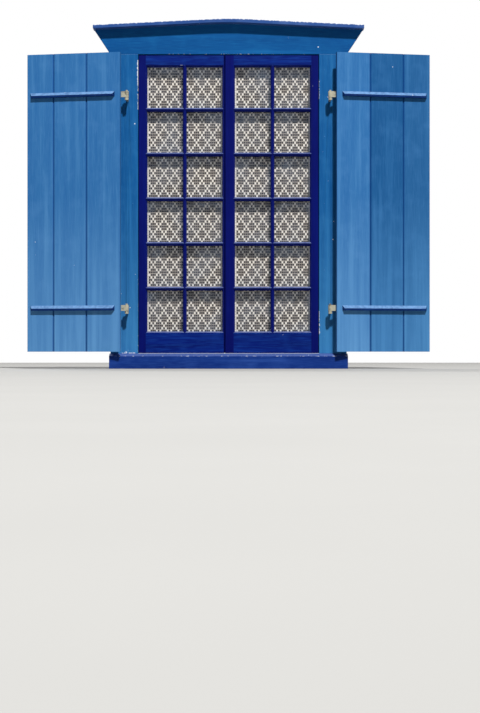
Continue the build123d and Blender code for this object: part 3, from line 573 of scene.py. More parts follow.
@dataclass(frozen=True)
class Cotton(Finish):
    """Cotton yarn or cloth, matt, with its threads drawn on the cloth's own map in metres.

    Args:
        colour: Colour of the yarn.
        shade: Colour between the yarns.
        thread: Spacing of the threads, coarse enough to show.
        lift: Height of a thread.
    """

    colour: str = "#FCF9F1"
    shade: str = "#E4DDD0"
    thread: float = 1.6 * MM
    lift: float = 0.3 * MM

    # A wave texture of scale 1 has about three bands in a metre
    WAVES_PER_METRE = 3

    def make(self) -> bpy.types.Material:
        """Build the material.

        Returns:
            The new material.
        """
        sockets = {"Roughness": 0.9, "Sheen Weight": 0.25, "Sheen Roughness": 0.5}
        material, tree, shader = self.blank(sockets)
        cloth = add(tree, "UVMap", out=0, uv_map=CLOTH_MAP)
        scale = 1 / (self.WAVES_PER_METRE * self.thread)
        wave = {"Vector": cloth, "Scale": scale, "Distortion": 0.6}
        weft, warp = (add(tree, "TexWave", wave, 1, bands_direction=way) for way in "XY")
        weave = add(tree, "Math", {0: weft, 1: warp}, 0, operation="MULTIPLY")
        between, yarn = linear(self.shade), linear(self.colour)
        colour = add(tree, "Mix", {0: weave, 6: between, 7: yarn}, 2, data_type="RGBA")
        relief = add(tree, "Bump", {"Height": weave, "Strength": 0.6, "Distance": self.lift}, 0)
        self.link(tree, shader, {"Base Color": colour, "Normal": relief})
        return material


@dataclass(frozen=True)
class StudioFloor(Finish):
    """Rolled vinyl, matt and pale, with a faint unevenness.

    Args:
        dull: Colour of its duller patches.
        clean: Colour of its cleaner patches.
    """

    dull: str = "#A3A29F"
    clean: str = "#A9A8A5"

    PATCH_SCALE = 3.0

    def make(self) -> bpy.types.Material:
        """Build the material.

        Returns:
            The new material.
        """
        material, tree, shader = self.blank({"Roughness": 0.9})
        place = add(tree, "TexCoord", out="Object")
        noise = {"Vector": place, "Scale": self.PATCH_SCALE, "Detail": 3.0}
        patches = add(tree, "TexNoise", noise, 0)
        dull, clean = linear(self.dull), linear(self.clean)
        colour = add(tree, "Mix", {0: patches, 6: dull, 7: clean}, 2, data_type="RGBA")
        self.link(tree, shader, {"Base Color": colour})
        return material


# Surfaces


def grid_quads(rows: int, columns: int) -> np.ndarray:
    """Number the quads of a grid of points that is stored row by row.

    Args:
        rows: Points down the grid.
        columns: Points across it.

    Returns:
        An array of four point numbers for each quad.
    """
    start = (np.arange(rows - 1)[:, None] * columns + np.arange(columns - 1)).reshape(-1)
    return np.stack([start, start + 1, start + columns + 1, start + columns], axis=1)


def place_piece(
    name: str,
    points: np.ndarray,
    quads: np.ndarray,
    finishes: Sequence[Finish],
    body: str,
) -> bpy.types.Object:
    """Make a smooth object from points and quads, and let it ride on a body.

    Args:
        name: Name of the piece.
        points: Places of its points, one row each.
        quads: Point numbers of its faces.
        finishes: Its finishes, in the order of its material numbers.
        body: Body that it moves with.

    Returns:
        The new object.
    """
    mesh = bpy.data.meshes.new(name)
    mesh.from_pydata(points.tolist(), [], quads.tolist())
    mesh.polygons.foreach_set("use_smooth", np.full(len(quads), True))
    for finish in finishes:
        mesh.materials.append(finish.material())
    piece = bpy.data.objects.new(name, mesh)
    bpy.context.scene.collection.objects.link(piece)
    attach(piece, body)
    LOG.info("%s: %d faces on %s", name, len(quads), body)
    return piece


def map_cloth(piece: bpy.types.Object, cloth: np.ndarray, quads: np.ndarray) -> None:
    """Give a cloth the map that its threads follow.

    Args:
        piece: The cloth.
        cloth: Place of each point on the flat cloth, in metres.
        quads: Point numbers of its faces.
    """
    layer = piece.data.uv_layers.new(name=CLOTH_MAP)
    layer.data.foreach_set("uv", cloth[quads.reshape(-1)].astype(np.float32).reshape(-1))


def weld(piece: bpy.types.Object) -> None:
    """Join the points of a piece that lie within MERGE_REACH of each other."""
    piece.modifiers.new("weld", "WELD").merge_threshold = MERGE_REACH


def thicken(piece: bpy.types.Object, thickness: float) -> None:
    """Give a cloth its thickness, half of it on each side.

    Args:
        piece: The cloth.
        thickness: Its thickness.
    """
    solid = piece.modifiers.new("thickness", "SOLIDIFY")
    solid.thickness = thickness
    solid.offset = 0.0


def dress(nodes: Iterable[str], finish: Finish, ease: float = 0.0) -> None:
    """Give CAD nodes a finish, and take the sharpness off their arrises.

    Args:
        nodes: Names of the nodes.
        finish: Their finish.
        ease: Width of the eased arris, or 0 for none.
    """
    for name in nodes:
        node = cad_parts[name]
        node.data.materials.clear()
        node.data.materials.append(finish.material())
        if ease:
            weld(node)
            bevel = node.modifiers.new("arris", "BEVEL")
            bevel.width = ease
            bevel.segments = ARRIS_STEPS
            bevel.limit_method = "ANGLE"
            bevel.angle_limit = ARRIS_ANGLE
        LOG.info("%s: %s", name, finish.name)


@dataclass(frozen=True)
class Heads:
    """Heads of nails or slotted screws, all alike.

    Args:
        radius: Radius of a head.
        rise: Height of its crown over the surface.
        slot: Width of its slot, or 0 for a nail.
    """

    radius: float = 4 * MM
    rise: float = 1 * MM
    slot: float = 0.0

    RINGS = 7
    TURNS = 24
    # Share of the crown's height that is left in the slot, and of the rise that the rim goes down
    SLOT_FLOOR = 0.4
    RIM_DROP = 0.3

    def surface(self, places: np.ndarray, facing: Vector3) -> tuple[np.ndarray, np.ndarray]:
        """Work out all heads as whole arrays.

        On rings of radius r and turns t, a head is (r cos t, r sin t, h), where the crown's height
        h is rise times the root of 1 - (r / radius)^2, and SLOT_FLOOR times that inside the slot.
        The last ring lies RIM_DROP times the rise below the surface.

        Args:
            places: Middle of each head, one row each.
            facing: Unit vector along one axis that the heads look along.

        Returns:
            The points and the quads.
        """
        ring = np.sin(np.linspace(0, math.pi / 2, self.RINGS))[:, None]
        turn = np.linspace(0, 2 * math.pi, self.TURNS, endpoint=False)[None, :]
        across, along = self.radius * ring * np.cos(turn), self.radius * ring * np.sin(turn)
        height = self.rise * np.sqrt(np.clip(1 - ring**2, 0, 1)) * np.ones_like(turn)
        height = np.where(np.abs(across) < self.slot / 2, height * self.SLOT_FLOOR, height)
        height[-1] = -self.RIM_DROP * self.rise
        look = np.array(facing, dtype=float)
        first = np.roll(np.abs(look), 1)
        second = np.cross(look, first)
        head = across[..., None] * first + along[..., None] * second + height[..., None] * look
        head = head.reshape(-1, 3)
        quads = self.ring_quads()
        points = (places[:, None, :] + head[None]).reshape(-1, 3)
        shift = np.arange(len(places))[:, None, None] * len(head)
        return points, (quads[None] + shift).reshape(-1, 4)

    def ring_quads(self) -> np.ndarray:
        """Number the quads of one head, whose turns close on themselves.

        Returns:
            An array of four point numbers for each quad.
        """
        row = np.arange(self.RINGS - 1)[:, None] * self.TURNS
        step = np.arange(self.TURNS)
        after = (step + 1) % self.TURNS
        quads = [row + step, row + self.TURNS + step, row + self.TURNS + after, row + after]
        return np.stack([q.reshape(-1) for q in quads], axis=1)

    def fit(
        self,
        name: str,
        rows: Sequence[Vector3],
        facing: Vector3,
        finish: Finish,
        body: str,
        slot: str,
    ) -> None:
        """Make one piece with a head at each place.

        Args:
            name: Name of the piece.
            rows: Middle of each head.
            facing: Unit vector along one axis that the heads look along.
            finish: Finish of the heads.
            body: Body that they move with.
            slot: Name of a material slot; not used.
        """
        points, quads = self.surface(np.array(rows, dtype=float), facing)
        weld(place_piece(name, points, quads, (finish,), body))


# Finishes of the window


# Arrises that have chipped, by a point of each: a casing's towards the sashes and its foot, the
# head board's lower one, the front ones of cap and sill, and the end of the left top rail
LEFT_CASING = (-0.475, 0.0, 0.0)
RIGHT_CASING = (0.475, 0.0, 0.0)
CASING_FOOT = 0.079
HEAD_FOOT = (0.0, 0.0, 1.65)
CAP_FRONT = (0.0, -0.042, 1.83)
CAP_FALL = 0.048
SILL_FRONT = (0.0, -0.045, 0.066)
RAIL_END = (-0.246, 0.005, 1.593)

CASING_CHIPS = (
    WornEdge(LEFT_CASING, Axis.Z, (1.49, 1.62), 7 * MM, 1.0),
    WornEdge(LEFT_CASING, Axis.Z, (1.36, 1.49), 4 * MM, 0.7),
    WornEdge(LEFT_CASING, Axis.Z, (CASING_FOOT, 0.52), 3 * MM, 0.33),
    WornEdge(RIGHT_CASING, Axis.Z, (0.18, 0.3), 7 * MM, 0.6),
    WornEdge(RIGHT_CASING, Axis.Z, (1.40, 1.52), 5 * MM, 0.53),
    WornEdge((-0.52, 0.0, CASING_FOOT), Axis.X, (-0.56, -0.49), 30 * MM, 0.4),
)
HEAD_CHIPS = (
    WornEdge(HEAD_FOOT, Axis.X, (-0.06, 0.13), 5 * MM, 0.27),
    WornEdge(HEAD_FOOT, Axis.X, (-0.48, 0.48), 3 * MM, 0.2),
)

# Oil paint shows the brush's marks and hardly shines. This coat is bleached towards the foot, in
# upright patches, with painted shade in the joints between boards
SHUTTER_PAINT = OilPaint(
    "oil_paint_brushed_on_shutter_boards",
    "#336CA3",
    "#275F9A",
    "#5286BA",
    grooves=True,
    specks=0.02,
    faded=0.95,
)
# The same coat, which has kept more of its colour
FREE_BOARD_PAINT = replace(
    SHUTTER_PAINT,
    name="oil_paint_less_faded_on_board",
    colour="#265C8F",
    thin="#1F5386",
    chalk="#447AB0",
    bleach="#4B84B7",
)
# The same coat at its deepest, so that each board stands out from the next
FRESH_BOARD_PAINT = replace(
    SHUTTER_PAINT,
    name="oil_paint_fresh_on_board",
    colour="#1D5589",
    thin="#174C80",
    chalk="#3D74AA",
    bleach="#457EB2",
)
# Painted shade: near-black navy on the front, darker than the boards, for the shade on the front and
# the shadow under each batten; the pale line on the slope above it is part chalk and part painted
# light
BATTEN_PAINT = OilPaint(
    "oil_paint_brushed_on_battens", "#08275C", "#061D4A", "#153F7C", Grain.LEVEL, bloom="#6A91BE"
)
# Mid blue with pale specks all over, and pale undercoat bare along the inner arrises
CASING_PAINT = OilPaint(
    "oil_paint_brushed_on_casings",
    "#155A95",
    "#0C4881",
    "#3579AE",
    specks=0.35,
    faded=0.8,
    bleach="#3D80B4",
    edges=CASING_CHIPS,
)
# Sheltered by the cap, so it is deeper, even and brushed along
HEAD_PAINT = OilPaint(
    "oil_paint_brushed_on_head_board",
    "#0A4E8A",
    "#08427B",
    "#1A6AA4",
    Grain.LEVEL,
    streaks=0.5,
    edges=HEAD_CHIPS,
)
# Greyed by the rain, with its front arris worn to the undercoat
CAP_PAINT = OilPaint(
    "oil_paint_brushed_on_cap",
    "#2A508F",
    "#22407C",
    "#647EB0",
    Grain.LEVEL,
    edges=(WornEdge(CAP_FRONT, Axis.X, (-0.72, 0.72), 6 * MM, 0.5, CAP_FALL),),
)
# A newer coat than the frame's: deep navy, and nearly free of marks
SASH_PAINT = OilPaint(
    "oil_paint_brushed_on_stiles",
    "#010B5D",
    "#010746",
    "#061B71",
    banding=0.4,
    streaks=0.2,
    specks=0.03,
)
# The same coat, brushed along and rubbed paler
RAIL_PAINT = OilPaint(
    "oil_paint_brushed_on_rails",
    "#021C70",
    "#01114E",
    "#164497",
    Grain.LEVEL,
    streaks=0.7,
    specks=0.03,
    edges=(WornEdge(RAIL_END, Axis.X, (-0.262, -0.232), 3 * MM, 0.4),),
)
# Water stands on it and its front arris is chipped; its upward slope is paler, part grey from the
# water and part painted light
SILL_PAINT = OilPaint(
    "oil_paint_brushed_on_sill",
    "#11327C",
    "#0B2468",
    "#3458A4",
    Grain.LEVEL,
    bloom="#4A5E96",
    streaks=0.5,
    edges=(WornEdge(SILL_FRONT, Axis.X, (-0.63, 0.63), 3 * MM, 0.33),),
)
# Plain mid blue that no weather has reached
JAMB_PAINT = OilPaint("oil_paint_brushed_on_jambs", "#1B5698", "#144684", "#3F78B4", specks=0.05)
# Painted shade: the darkest coat, for the shade on the bars' fronts and under them, so that the bars
# draw a fine dark grid over the lace
BAR_PAINT = OilPaint(
    "oil_paint_brushed_on_level_bars", "#010A48", "#010636", "#071C62", Grain.LEVEL, specks=0.02
)
# Smoother than the wood, with paler upward slopes, part chalk and part painted light, which draw a
# line under each pane
PUTTY = Putty("linseed_putty_painted")
# Clear, with a thin veil of dust and slightly wavy reflections
GLASS = DrawnGlass("sheet_glass_drawn")
# Uneven from the hammer, brown and grey in patches, with hardly a shine left
IRON = Metal(
    "wrought_iron_forged",
    "#6E6B60",
    "#A8A490",
    cover=0.75,
    roughness=0.55,
    pit=3 * MM,
    depth=0.5 * MM,
    shine=0.1,
)
# Pale grey with a soft shine and duller spangles
STEEL = Metal("mild_steel_zinc_plated", "#B9BDC2", "#8D9196", pit=1.5 * MM)
# Warm and bright where hands rub it, and brown where they don't
BRASS = Metal(
    "brass_cast_and_polished", "#C9A24E", "#8E6B2C", cover=0.35, roughness=0.25, depth=0.05 * MM
)
# Cream yarn worked close, so that the filled cells read as pale blocks
LACE_BLOCK = Cotton("cotton_filet_lace_crocheted_blocks")
# Single threads of the same yarn, painted greyer as shade on the thin threads. They are drawn thicker
# than real ones, so that they show
LACE_THREAD = Cotton("cotton_filet_lace_crocheted_threads", "#DDD2C4", "#B0A496", thread=1.2 * MM)
# Painted shade: a matt dark brown sheet behind the net, standing for the dark behind it, so that the
# net stands out in front of it
SHADE_SHEET_CLOTH = Cotton("cotton_lining_plain_woven", "#3A302A", "#2A221E", thread=1.4 * MM)
# Matt and pale, so that it shows the shadow and nothing else
FLOOR_VINYL = StudioFloor("vinyl_studio_floor_rolled")


# Sub-assemblies


@dataclass
class Frame:
    """Fixed frame: sill, jambs, casings, head board, cap and the ironwork that stays on it.

    Args:
        body: Name of its body.
        ease: Width of the eased arrises of jambs and casings.
        worn_ease: Width of those of sill, head board and cap, which more water runs over.
        nail: Head of a nail.
        nail_inset: Distance of the nails from a casing's long edges.
        nail_rows: Nails in each column.
    """

    body: str = "frame"
    ease: float = 1 * MM
    worn_ease: float = 1.5 * MM
    nail: Heads = Heads(3.5 * MM, 0.7 * MM)
    nail_inset: float = 28 * MM
    nail_rows: int = 5

    # Insets between a casing's end and its first nail
    END_INSETS = 3

    def dress(self) -> None:
        """Paint the timber and finish the ironwork."""
        dress(("sill",), SILL_PAINT, self.worn_ease)
        dress(("head_jamb", "left_jamb", "right_jamb"), JAMB_PAINT, self.ease)
        dress(("left_casing", "right_casing"), CASING_PAINT, self.ease)
        dress(("head_board",), HEAD_PAINT, self.worn_ease)
        dress(("cap_board",), CAP_PAINT, self.worn_ease)
        dress(("left_pintles", "right_pintles"), IRON)
        dress(("left_frame_hinges", "right_frame_hinges", "bolt_keepers"), STEEL)

    def nails(self) -> None:
        """Put painted nail heads in two columns down each casing."""
        end = self.END_INSETS * self.nail_inset
        for hand in Hand:
            low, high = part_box(f"{hand.stem}_casing")
            heights = np.linspace(low.z + end, high.z - end, self.nail_rows)
            columns = (low.x + self.nail_inset, high.x - self.nail_inset)
            rows = [(x, low.y, z) for z in heights for x in columns]
            name = f"{hand.stem}_casing_nails"
            self.nail.fit(name, rows, (0, -1, 0), CASING_PAINT, self.body, "casing_paint")


@dataclass
class Shutter:
    """Ledged shutter on its strap hinges.

    Args:
        hand: Side of the window that it hangs on.
        ease: Width of the wood's eased arrises.
        iron_ease: Width of the ironwork's.
    """

    hand: Hand
    ease: float = 0.8 * MM
    iron_ease: float = 0.4 * MM

    # Paint of the boards from the hinge to the free edge: one shutter has faded unevenly
    BOARD_PAINTS = {
        Hand.LEFT: (SHUTTER_PAINT, SHUTTER_PAINT, SHUTTER_PAINT),
        Hand.RIGHT: (SHUTTER_PAINT, FRESH_BOARD_PAINT, FREE_BOARD_PAINT),
    }

    @property
    def body(self) -> str:
        """Name of the body and start of its node names."""
        return f"{self.hand.stem}_shutter"

    def dress(self) -> None:
        """Paint the boards and battens and finish the ironwork."""
        for name, paint in zip(("hinge", "middle", "free"), self.BOARD_PAINTS[self.hand]):
            dress([f"{self.body}_{name}_board"], paint, self.ease)
        # Painted shade on the batten fronts, and painted light on their upper slopes
        dress([f"{self.body}_{name}_batten" for name in ("upper", "lower")], BATTEN_PAINT, self.ease)
        straps = [f"{self.body}_{name}_strap" for name in ("upper", "lower")]
        dress([*straps, f"{self.body}_strap_screws"], IRON, self.iron_ease)


@dataclass
class Curtain:
    """Filet lace panel between two rods, with a dark sheet behind it that is painted shade.

    Args:
        hand: Side of its sash.
        cell: Width and height of a cell of the net.
        repeat: Cells from one diagonal of filled cells to the next.
        thread: Width of the upright and of the level threads.
        thickness: Thickness of the lace.
        sleeve: Radius of the sleeves round the rods.
        sway: Depth of the cloth's waves.
        low: Lowest corner of the CAD panel.
        high: Highest corner of it.
    """

    hand: Hand
    cell: Pair = (9.5 * MM, 13.4 * MM)
    repeat: int = 6
    thread: Pair = (1.3 * MM, 2.6 * MM)
    thickness: float = 0.7 * MM
    sleeve: float = 3.5 * MM
    sway: float = 0.5 * MM
    low: Vector = field(init=False)
    high: Vector = field(init=False)

    SLEEVE_STEPS = 16
    # Length in metres, strength, and turn from foot to head in radians of each wave
    WAVES = ((0.11, 1.0, 3.0), (0.067, 0.6, -5.0))
    # Kinds of faces of the net
    OPEN, FILLED, THREAD = 0, 1, 2
    # Points of the lining across and up, and its share of the CAD lining's thickness
    LINING_GRID = (85, 108)
    LINING_SHARE = 0.6

    def __post_init__(self) -> None:
        """Take the corners of the CAD panel."""
        self.low, self.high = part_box(f"{self.body}_lace_panel")

    @property
    def body(self) -> str:
        """Name of the sash that carries it."""
        return f"{self.hand.stem}_sash"

    @property
    def depth(self) -> float:
        """Depth of the rods' axes, where the lace hangs."""
        return (self.low.y + self.high.y) / 2

    @property
    def rods(self) -> Pair:
        """Heights of the lower and upper rod."""
        sleeve = (self.high.y - self.low.y) / 2
        return self.low.z + sleeve, self.high.z - sleeve

    def waves(self, x: np.ndarray, z: np.ndarray) -> np.ndarray:
        """Work out the cloth's depth, as two slow sines of x that turn with the height.

        With u from 0 at the lower rod to 1 at the upper one, the depth is the rods' own plus sway
        times the root of sin(pi u) times the sum of strength sin(2 pi x / length + turn u), so the
        waves die out at the sleeves.

        Args:
            x: Places across the cloth.
            z: Heights.

        Returns:
            The depths.
        """
        share = np.clip((z - self.rods[0]) / (self.rods[1] - self.rods[0]), 0, 1)
        slow = sum(
            strength * np.sin(2 * math.pi * x / length + turn * share)
            for length, strength, turn in self.WAVES
        )
        return self.depth + self.sway * slow * np.sin(math.pi * share) ** 0.5

    def lines(self, start: float, end: float, cells: int, thread: float) -> np.ndarray:
        """Place both edges of each thread between a net's cells.

        Args:
            start: Where the net starts.
            end: Where it ends.
            cells: Number of cells.
            thread: Width of a thread.

        Returns:
            The places in order, with half a thread at each end.
        """
        middles = np.linspace(start, end, cells + 1)
        edges = np.stack([middles - thread / 2, middles + thread / 2], axis=1).reshape(-1)
        edges[[0, -1]] = start, end
        return edges

    def kinds(self, columns: int, rows: int) -> np.ndarray:
        """Say what each face of the flat net is.

        Args:
            columns: Cells across the net.
            rows: Cells up the net.

        Returns:
            OPEN, FILLED or THREAD for each face.
        """
        kind = np.full((2 * rows + 1, 2 * columns + 1), self.THREAD)
        i, j = np.meshgrid(np.arange(columns), np.arange(rows))
        filled = ((i + j) % self.repeat == 0) | ((i - j) % self.repeat == 0)
        edge = (i == 0) | (i == columns - 1) | (j == 0) | (j == rows - 1)
        kind[1::2, 1::2] = np.where(filled | edge, self.FILLED, self.OPEN)
        return kind

    def sleeved_path(self, z: np.ndarray) -> np.ndarray:
        """Lay the cloth's middle line round the lower rod, straight up and round the upper rod.

        At a turn t, the lower sleeve of radius r is (depth + r sin t, height of the rod + r cos t),
        and the upper one has - r cos t.

        Args:
            z: Heights of the straight part.

        Returns:
            A row of depths and a row of heights.
        """
        turn = np.linspace(0, 2 * math.pi, self.SLEEVE_STEPS + 1)[:-1]
        depth, rise = self.depth + self.sleeve * np.sin(turn), self.sleeve * np.cos(turn)
        straight = [np.full(len(z), self.depth), z]
        upper = [depth[1:], self.rods[1] - rise[1:]]
        return np.concatenate([[depth, self.rods[0] + rise], straight, upper], axis=1)

    def lace(self) -> bpy.types.Object:
        """Make the net: threads between cells, and cells filled along crossing diagonals.

        The cloth is a grid of x by the sleeved path, whose straight part has the waves. Cell (i, j)
        is filled where i + j or i - j is a multiple of the repeat, and open cells are left out of
        the faces.

        Returns:
            The lace panel.
        """
        bottom, top = self.rods[0] + self.sleeve, self.rods[1] - self.sleeve
        columns = round((self.high.x - self.low.x) / self.cell[0])
        rows = round((top - bottom) / self.cell[1])
        x = self.lines(self.low.x, self.high.x, columns, self.thread[0])
        z = self.lines(bottom, top, rows, self.thread[1])
        path = self.sleeved_path(z)
        length = np.concatenate([[0], np.cumsum(np.hypot(*np.diff(path, axis=1)))])
        across, heights = np.meshgrid(x, path[1])
        depths = np.repeat(path[0][:, None], len(x), axis=1)
        flat = slice(self.SLEEVE_STEPS, self.SLEEVE_STEPS + len(z))
        depths[flat] = self.waves(across[flat], heights[flat])
        points = np.stack([across, depths, heights], axis=-1).reshape(-1, 3)
        kind = np.full((len(length) - 1, len(x) - 1), self.FILLED)
        kind[flat.start : flat.stop - 1] = self.kinds(columns, rows)
        kind = kind.reshape(-1)
        kept = kind != self.OPEN
        quads = grid_quads(len(length), len(x))[kept]
        finishes = (LACE_BLOCK, LACE_THREAD)
        name = f"{self.hand.stem}_lace"
        piece = place_piece(name, points, quads, finishes, self.body)
        piece.data.polygons.foreach_set("material_index", kind[kept] - self.FILLED)
        map_cloth(piece, np.stack(np.meshgrid(x, length), axis=-1).reshape(-1, 2), quads)
        thicken(piece, self.thickness)
        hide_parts(f"{self.body}_lace_panel")
        area = float(np.outer(np.diff(length), np.diff(x)).reshape(-1)[kept].sum())
        flat_size = (float(x[-1] - x[0]), float(length[-1]))
        share = area / (flat_size[0] * flat_size[1])
        LOG.info("%s: cut %.3f by %.3f m, of which %.2f is yarn", piece.name, *flat_size, share)
        return piece

    def lining(self) -> bpy.types.Object:
        """Make the dark sheet of painted shade behind the lace: a grid of x by z with the lace's own
        waves, a little way behind it.

        Returns:
            The lining.
        """
        low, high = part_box(f"{self.body}_lining")
        x = np.linspace(low.x, high.x, self.LINING_GRID[0])
        z = np.linspace(low.z, high.z, self.LINING_GRID[1])
        across, heights = np.meshgrid(x, z)
        gap = (low.y + high.y) / 2 - self.depth
        depths = self.waves(across, heights) + gap
        points = np.stack([across, depths, heights], axis=-1).reshape(-1, 3)
        quads = grid_quads(len(z), len(x))
        name = f"{self.hand.stem}_lining"
        # Painted shade: this sheet stands for the dark behind the net
        piece = place_piece(name, points, quads, (SHADE_SHEET_CLOTH,), self.body)
        map_cloth(piece, points[:, [0, 2]], quads)
        thicken(piece, self.LINING_SHARE * (high.y - low.y))
        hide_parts(f"{self.body}_lining")
        return piece


@dataclass
class Sash:
    """Divided-light sash with its glass, putty and hinges.

    Args:
        hand: Side of the window that it hangs on.
        ease: Width of the wood's eased arrises.
        bead_width: Width of the bead in its foot.
        bead_drop: How far the bead stands out of the foot.
        bead_inset: Distance of its middle from the face.
        lip: How far the hinge stile's lip reaches behind the casing.
        cover_gap: Gap between both sashes' beads.
        leaf_screw: Head of a hinge's screw.
        leaf: Thickness of a hinge's leaf.
        half_hinge: Half of a hinge's height.
        screw_inset: Distance of the screws from a leaf's long edge.
        screw_rise: Distance of the screws from a hinge's middle.
    """

    hand: Hand
    ease: float = 0.6 * MM
    bead_width: float = 8 * MM
    bead_drop: float = 2 * MM
    bead_inset: float = 9 * MM
    lip: float = 9.5 * MM
    cover_gap: float = 5 * MM
    leaf_screw: Heads = Heads(3 * MM, 0.8 * MM, 0.9 * MM)
    leaf: float = 2 * MM
    half_hinge: float = 37.5 * MM
    screw_inset: float = 8 * MM
    screw_rise: float = 25 * MM

    BEAD_TURNS = 16
    BEAD_END_STEPS = 6
    HINGES = 3

    @property
    def body(self) -> str:
        """Name of the body and start of its node names."""
        return f"{self.hand.stem}_sash"

    def dress(self) -> None:
        """Paint the timber and finish the putty, glass and ironwork."""
        stiles = [f"{self.body}_{name}" for name in ("hinge_stile", "meeting_stile", "upright_bar")]
        dress(stiles, SASH_PAINT, self.ease)
        dress([f"{self.body}_{name}_rail" for name in ("top", "bottom")], RAIL_PAINT, self.ease)
        # Painted shade: the level bars carry the darkest coat
        dress([f"{self.body}_level_bars"], BAR_PAINT, self.ease)
        dress([f"{self.body}_putty"], PUTTY)
        dress([f"{self.body}_panes"], GLASS)
        dress([f"{self.body}_hinges", f"{self.body}_curtain_rods"], STEEL)

    def foot_bead(self) -> bpy.types.Object:
        """Let a painted bead into the sash's foot, which covers most of the gap over the sill.

        At a turn t round its section and a step u of each end, the surface is (x(u), y + s(u) w/2
        cos t, z + s(u) d sin t), an ellipse about the edge of the foot. At each end x goes in by
        w/2 (1 - cos u) and the scale s is sin u, so that the bead closes in a round.

        Returns:
            The bead.
        """
        hinge, meeting = (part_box(f"{self.body}_{name}_stile") for name in ("hinge", "meeting"))
        if self.hand is Hand.LEFT:
            right_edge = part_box("right_sash_meeting_stile")[0].x
            start, end = hinge[0].x + self.lip, right_edge - self.cover_gap
        else:
            start, end = meeting[0].x, hinge[1].x - self.lip
        step = np.linspace(0, math.pi / 2, self.BEAD_END_STEPS)
        inward = self.bead_width / 2 * (1 - np.cos(step))
        x = np.concatenate([start + inward, (end - inward)[::-1]])
        scale = np.concatenate([np.sin(step), np.sin(step)[::-1]])[:, None]
        turn = np.linspace(0, 2 * math.pi, self.BEAD_TURNS + 1)[None, :]
        depth = hinge[0].y + self.bead_inset + scale * self.bead_width / 2 * np.cos(turn)
        height = hinge[0].z + scale * self.bead_drop * np.sin(turn)
        across = np.repeat(x[:, None], turn.size, axis=1)
        points = np.stack([across, depth, height], axis=-1).reshape(-1, 3)
        quads = grid_quads(len(x), turn.size)
        name = f"{self.body}_foot_bead"
        piece = place_piece(name, points, quads, (SASH_PAINT,), self.body)
        weld(piece)
        return piece

    def screws(self) -> None:
        """Put slotted screws into the leaves on the sash and on the jamb."""
        low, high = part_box(f"{self.body}_hinges")
        near = low.x if self.hand is Hand.RIGHT else high.x
        x = near + self.hand.value * self.screw_inset
        middles = np.linspace(low.z + self.half_hinge, high.z - self.half_hinge, self.HINGES)
        heights = [z + side * self.screw_rise for z in middles for side in (-1, 1)]
        rows = [(x, low.y + self.leaf, z) for z in heights]
        name = f"{self.body}_hinge_screws"
        self.leaf_screw.fit(name, rows, (0, 1, 0), STEEL, self.body, "steel")
        low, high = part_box(f"{self.hand.stem}_frame_hinges")
        outer = high.x if self.hand is Hand.RIGHT else low.x
        face = outer - self.hand.value * self.leaf
        rows = [(face, high.y - self.screw_inset, z) for z in heights]
        name = f"{self.hand.stem}_jamb_hinge_screws"
        self.leaf_screw.fit(name, rows, (-self.hand.value, 0, 0), STEEL, "frame", "steel")


@dataclass
class Bolt:
    """Rod bolt of the left-hand sash, with its case, handle, rods, guides and keepers.

    Args:
        ease: Width of the eased arrises of the brass.
        screw: Head of a screw.
        inset: Distance of the screws from the ends of the case and keepers.
    """

    ease: float = 0.3 * MM
    screw: Heads = Heads(2.6 * MM, 0.8 * MM, 0.8 * MM)
    inset: float = 7 * MM

    def dress(self) -> None:
        """Finish the brass and the steel."""
        dress(("bolt_case", "bolt_handle"), BRASS, self.ease)
        dress(("bolt_pinion", "bolt_upper_rod", "bolt_lower_rod", "bolt_guides"), STEEL)

    def screws(self) -> None:
        """Put slotted screws into the case and the keepers."""
        low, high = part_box("bolt_case")
        x = (low.x + high.x) / 2
        rows = [(x, high.y, z) for z in (low.z + self.inset, high.z - self.inset)]
        self.screw.fit("bolt_case_screws", rows, (0, 1, 0), BRASS, "left_sash", "brass")
        low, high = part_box("bolt_keepers")
        ends = (low.y + self.inset, high.y - self.inset)
        sill_top, head_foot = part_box("sill")[1].z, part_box("head_jamb")[0].z
        for place, face, up in (("sill", sill_top, 1), ("head", head_foot, -1)):
            rows = [(x, y, face) for y in ends]
            self.screw.fit(f"{place}_keeper_screws", rows, (0, 0, up), STEEL, "frame", "steel")


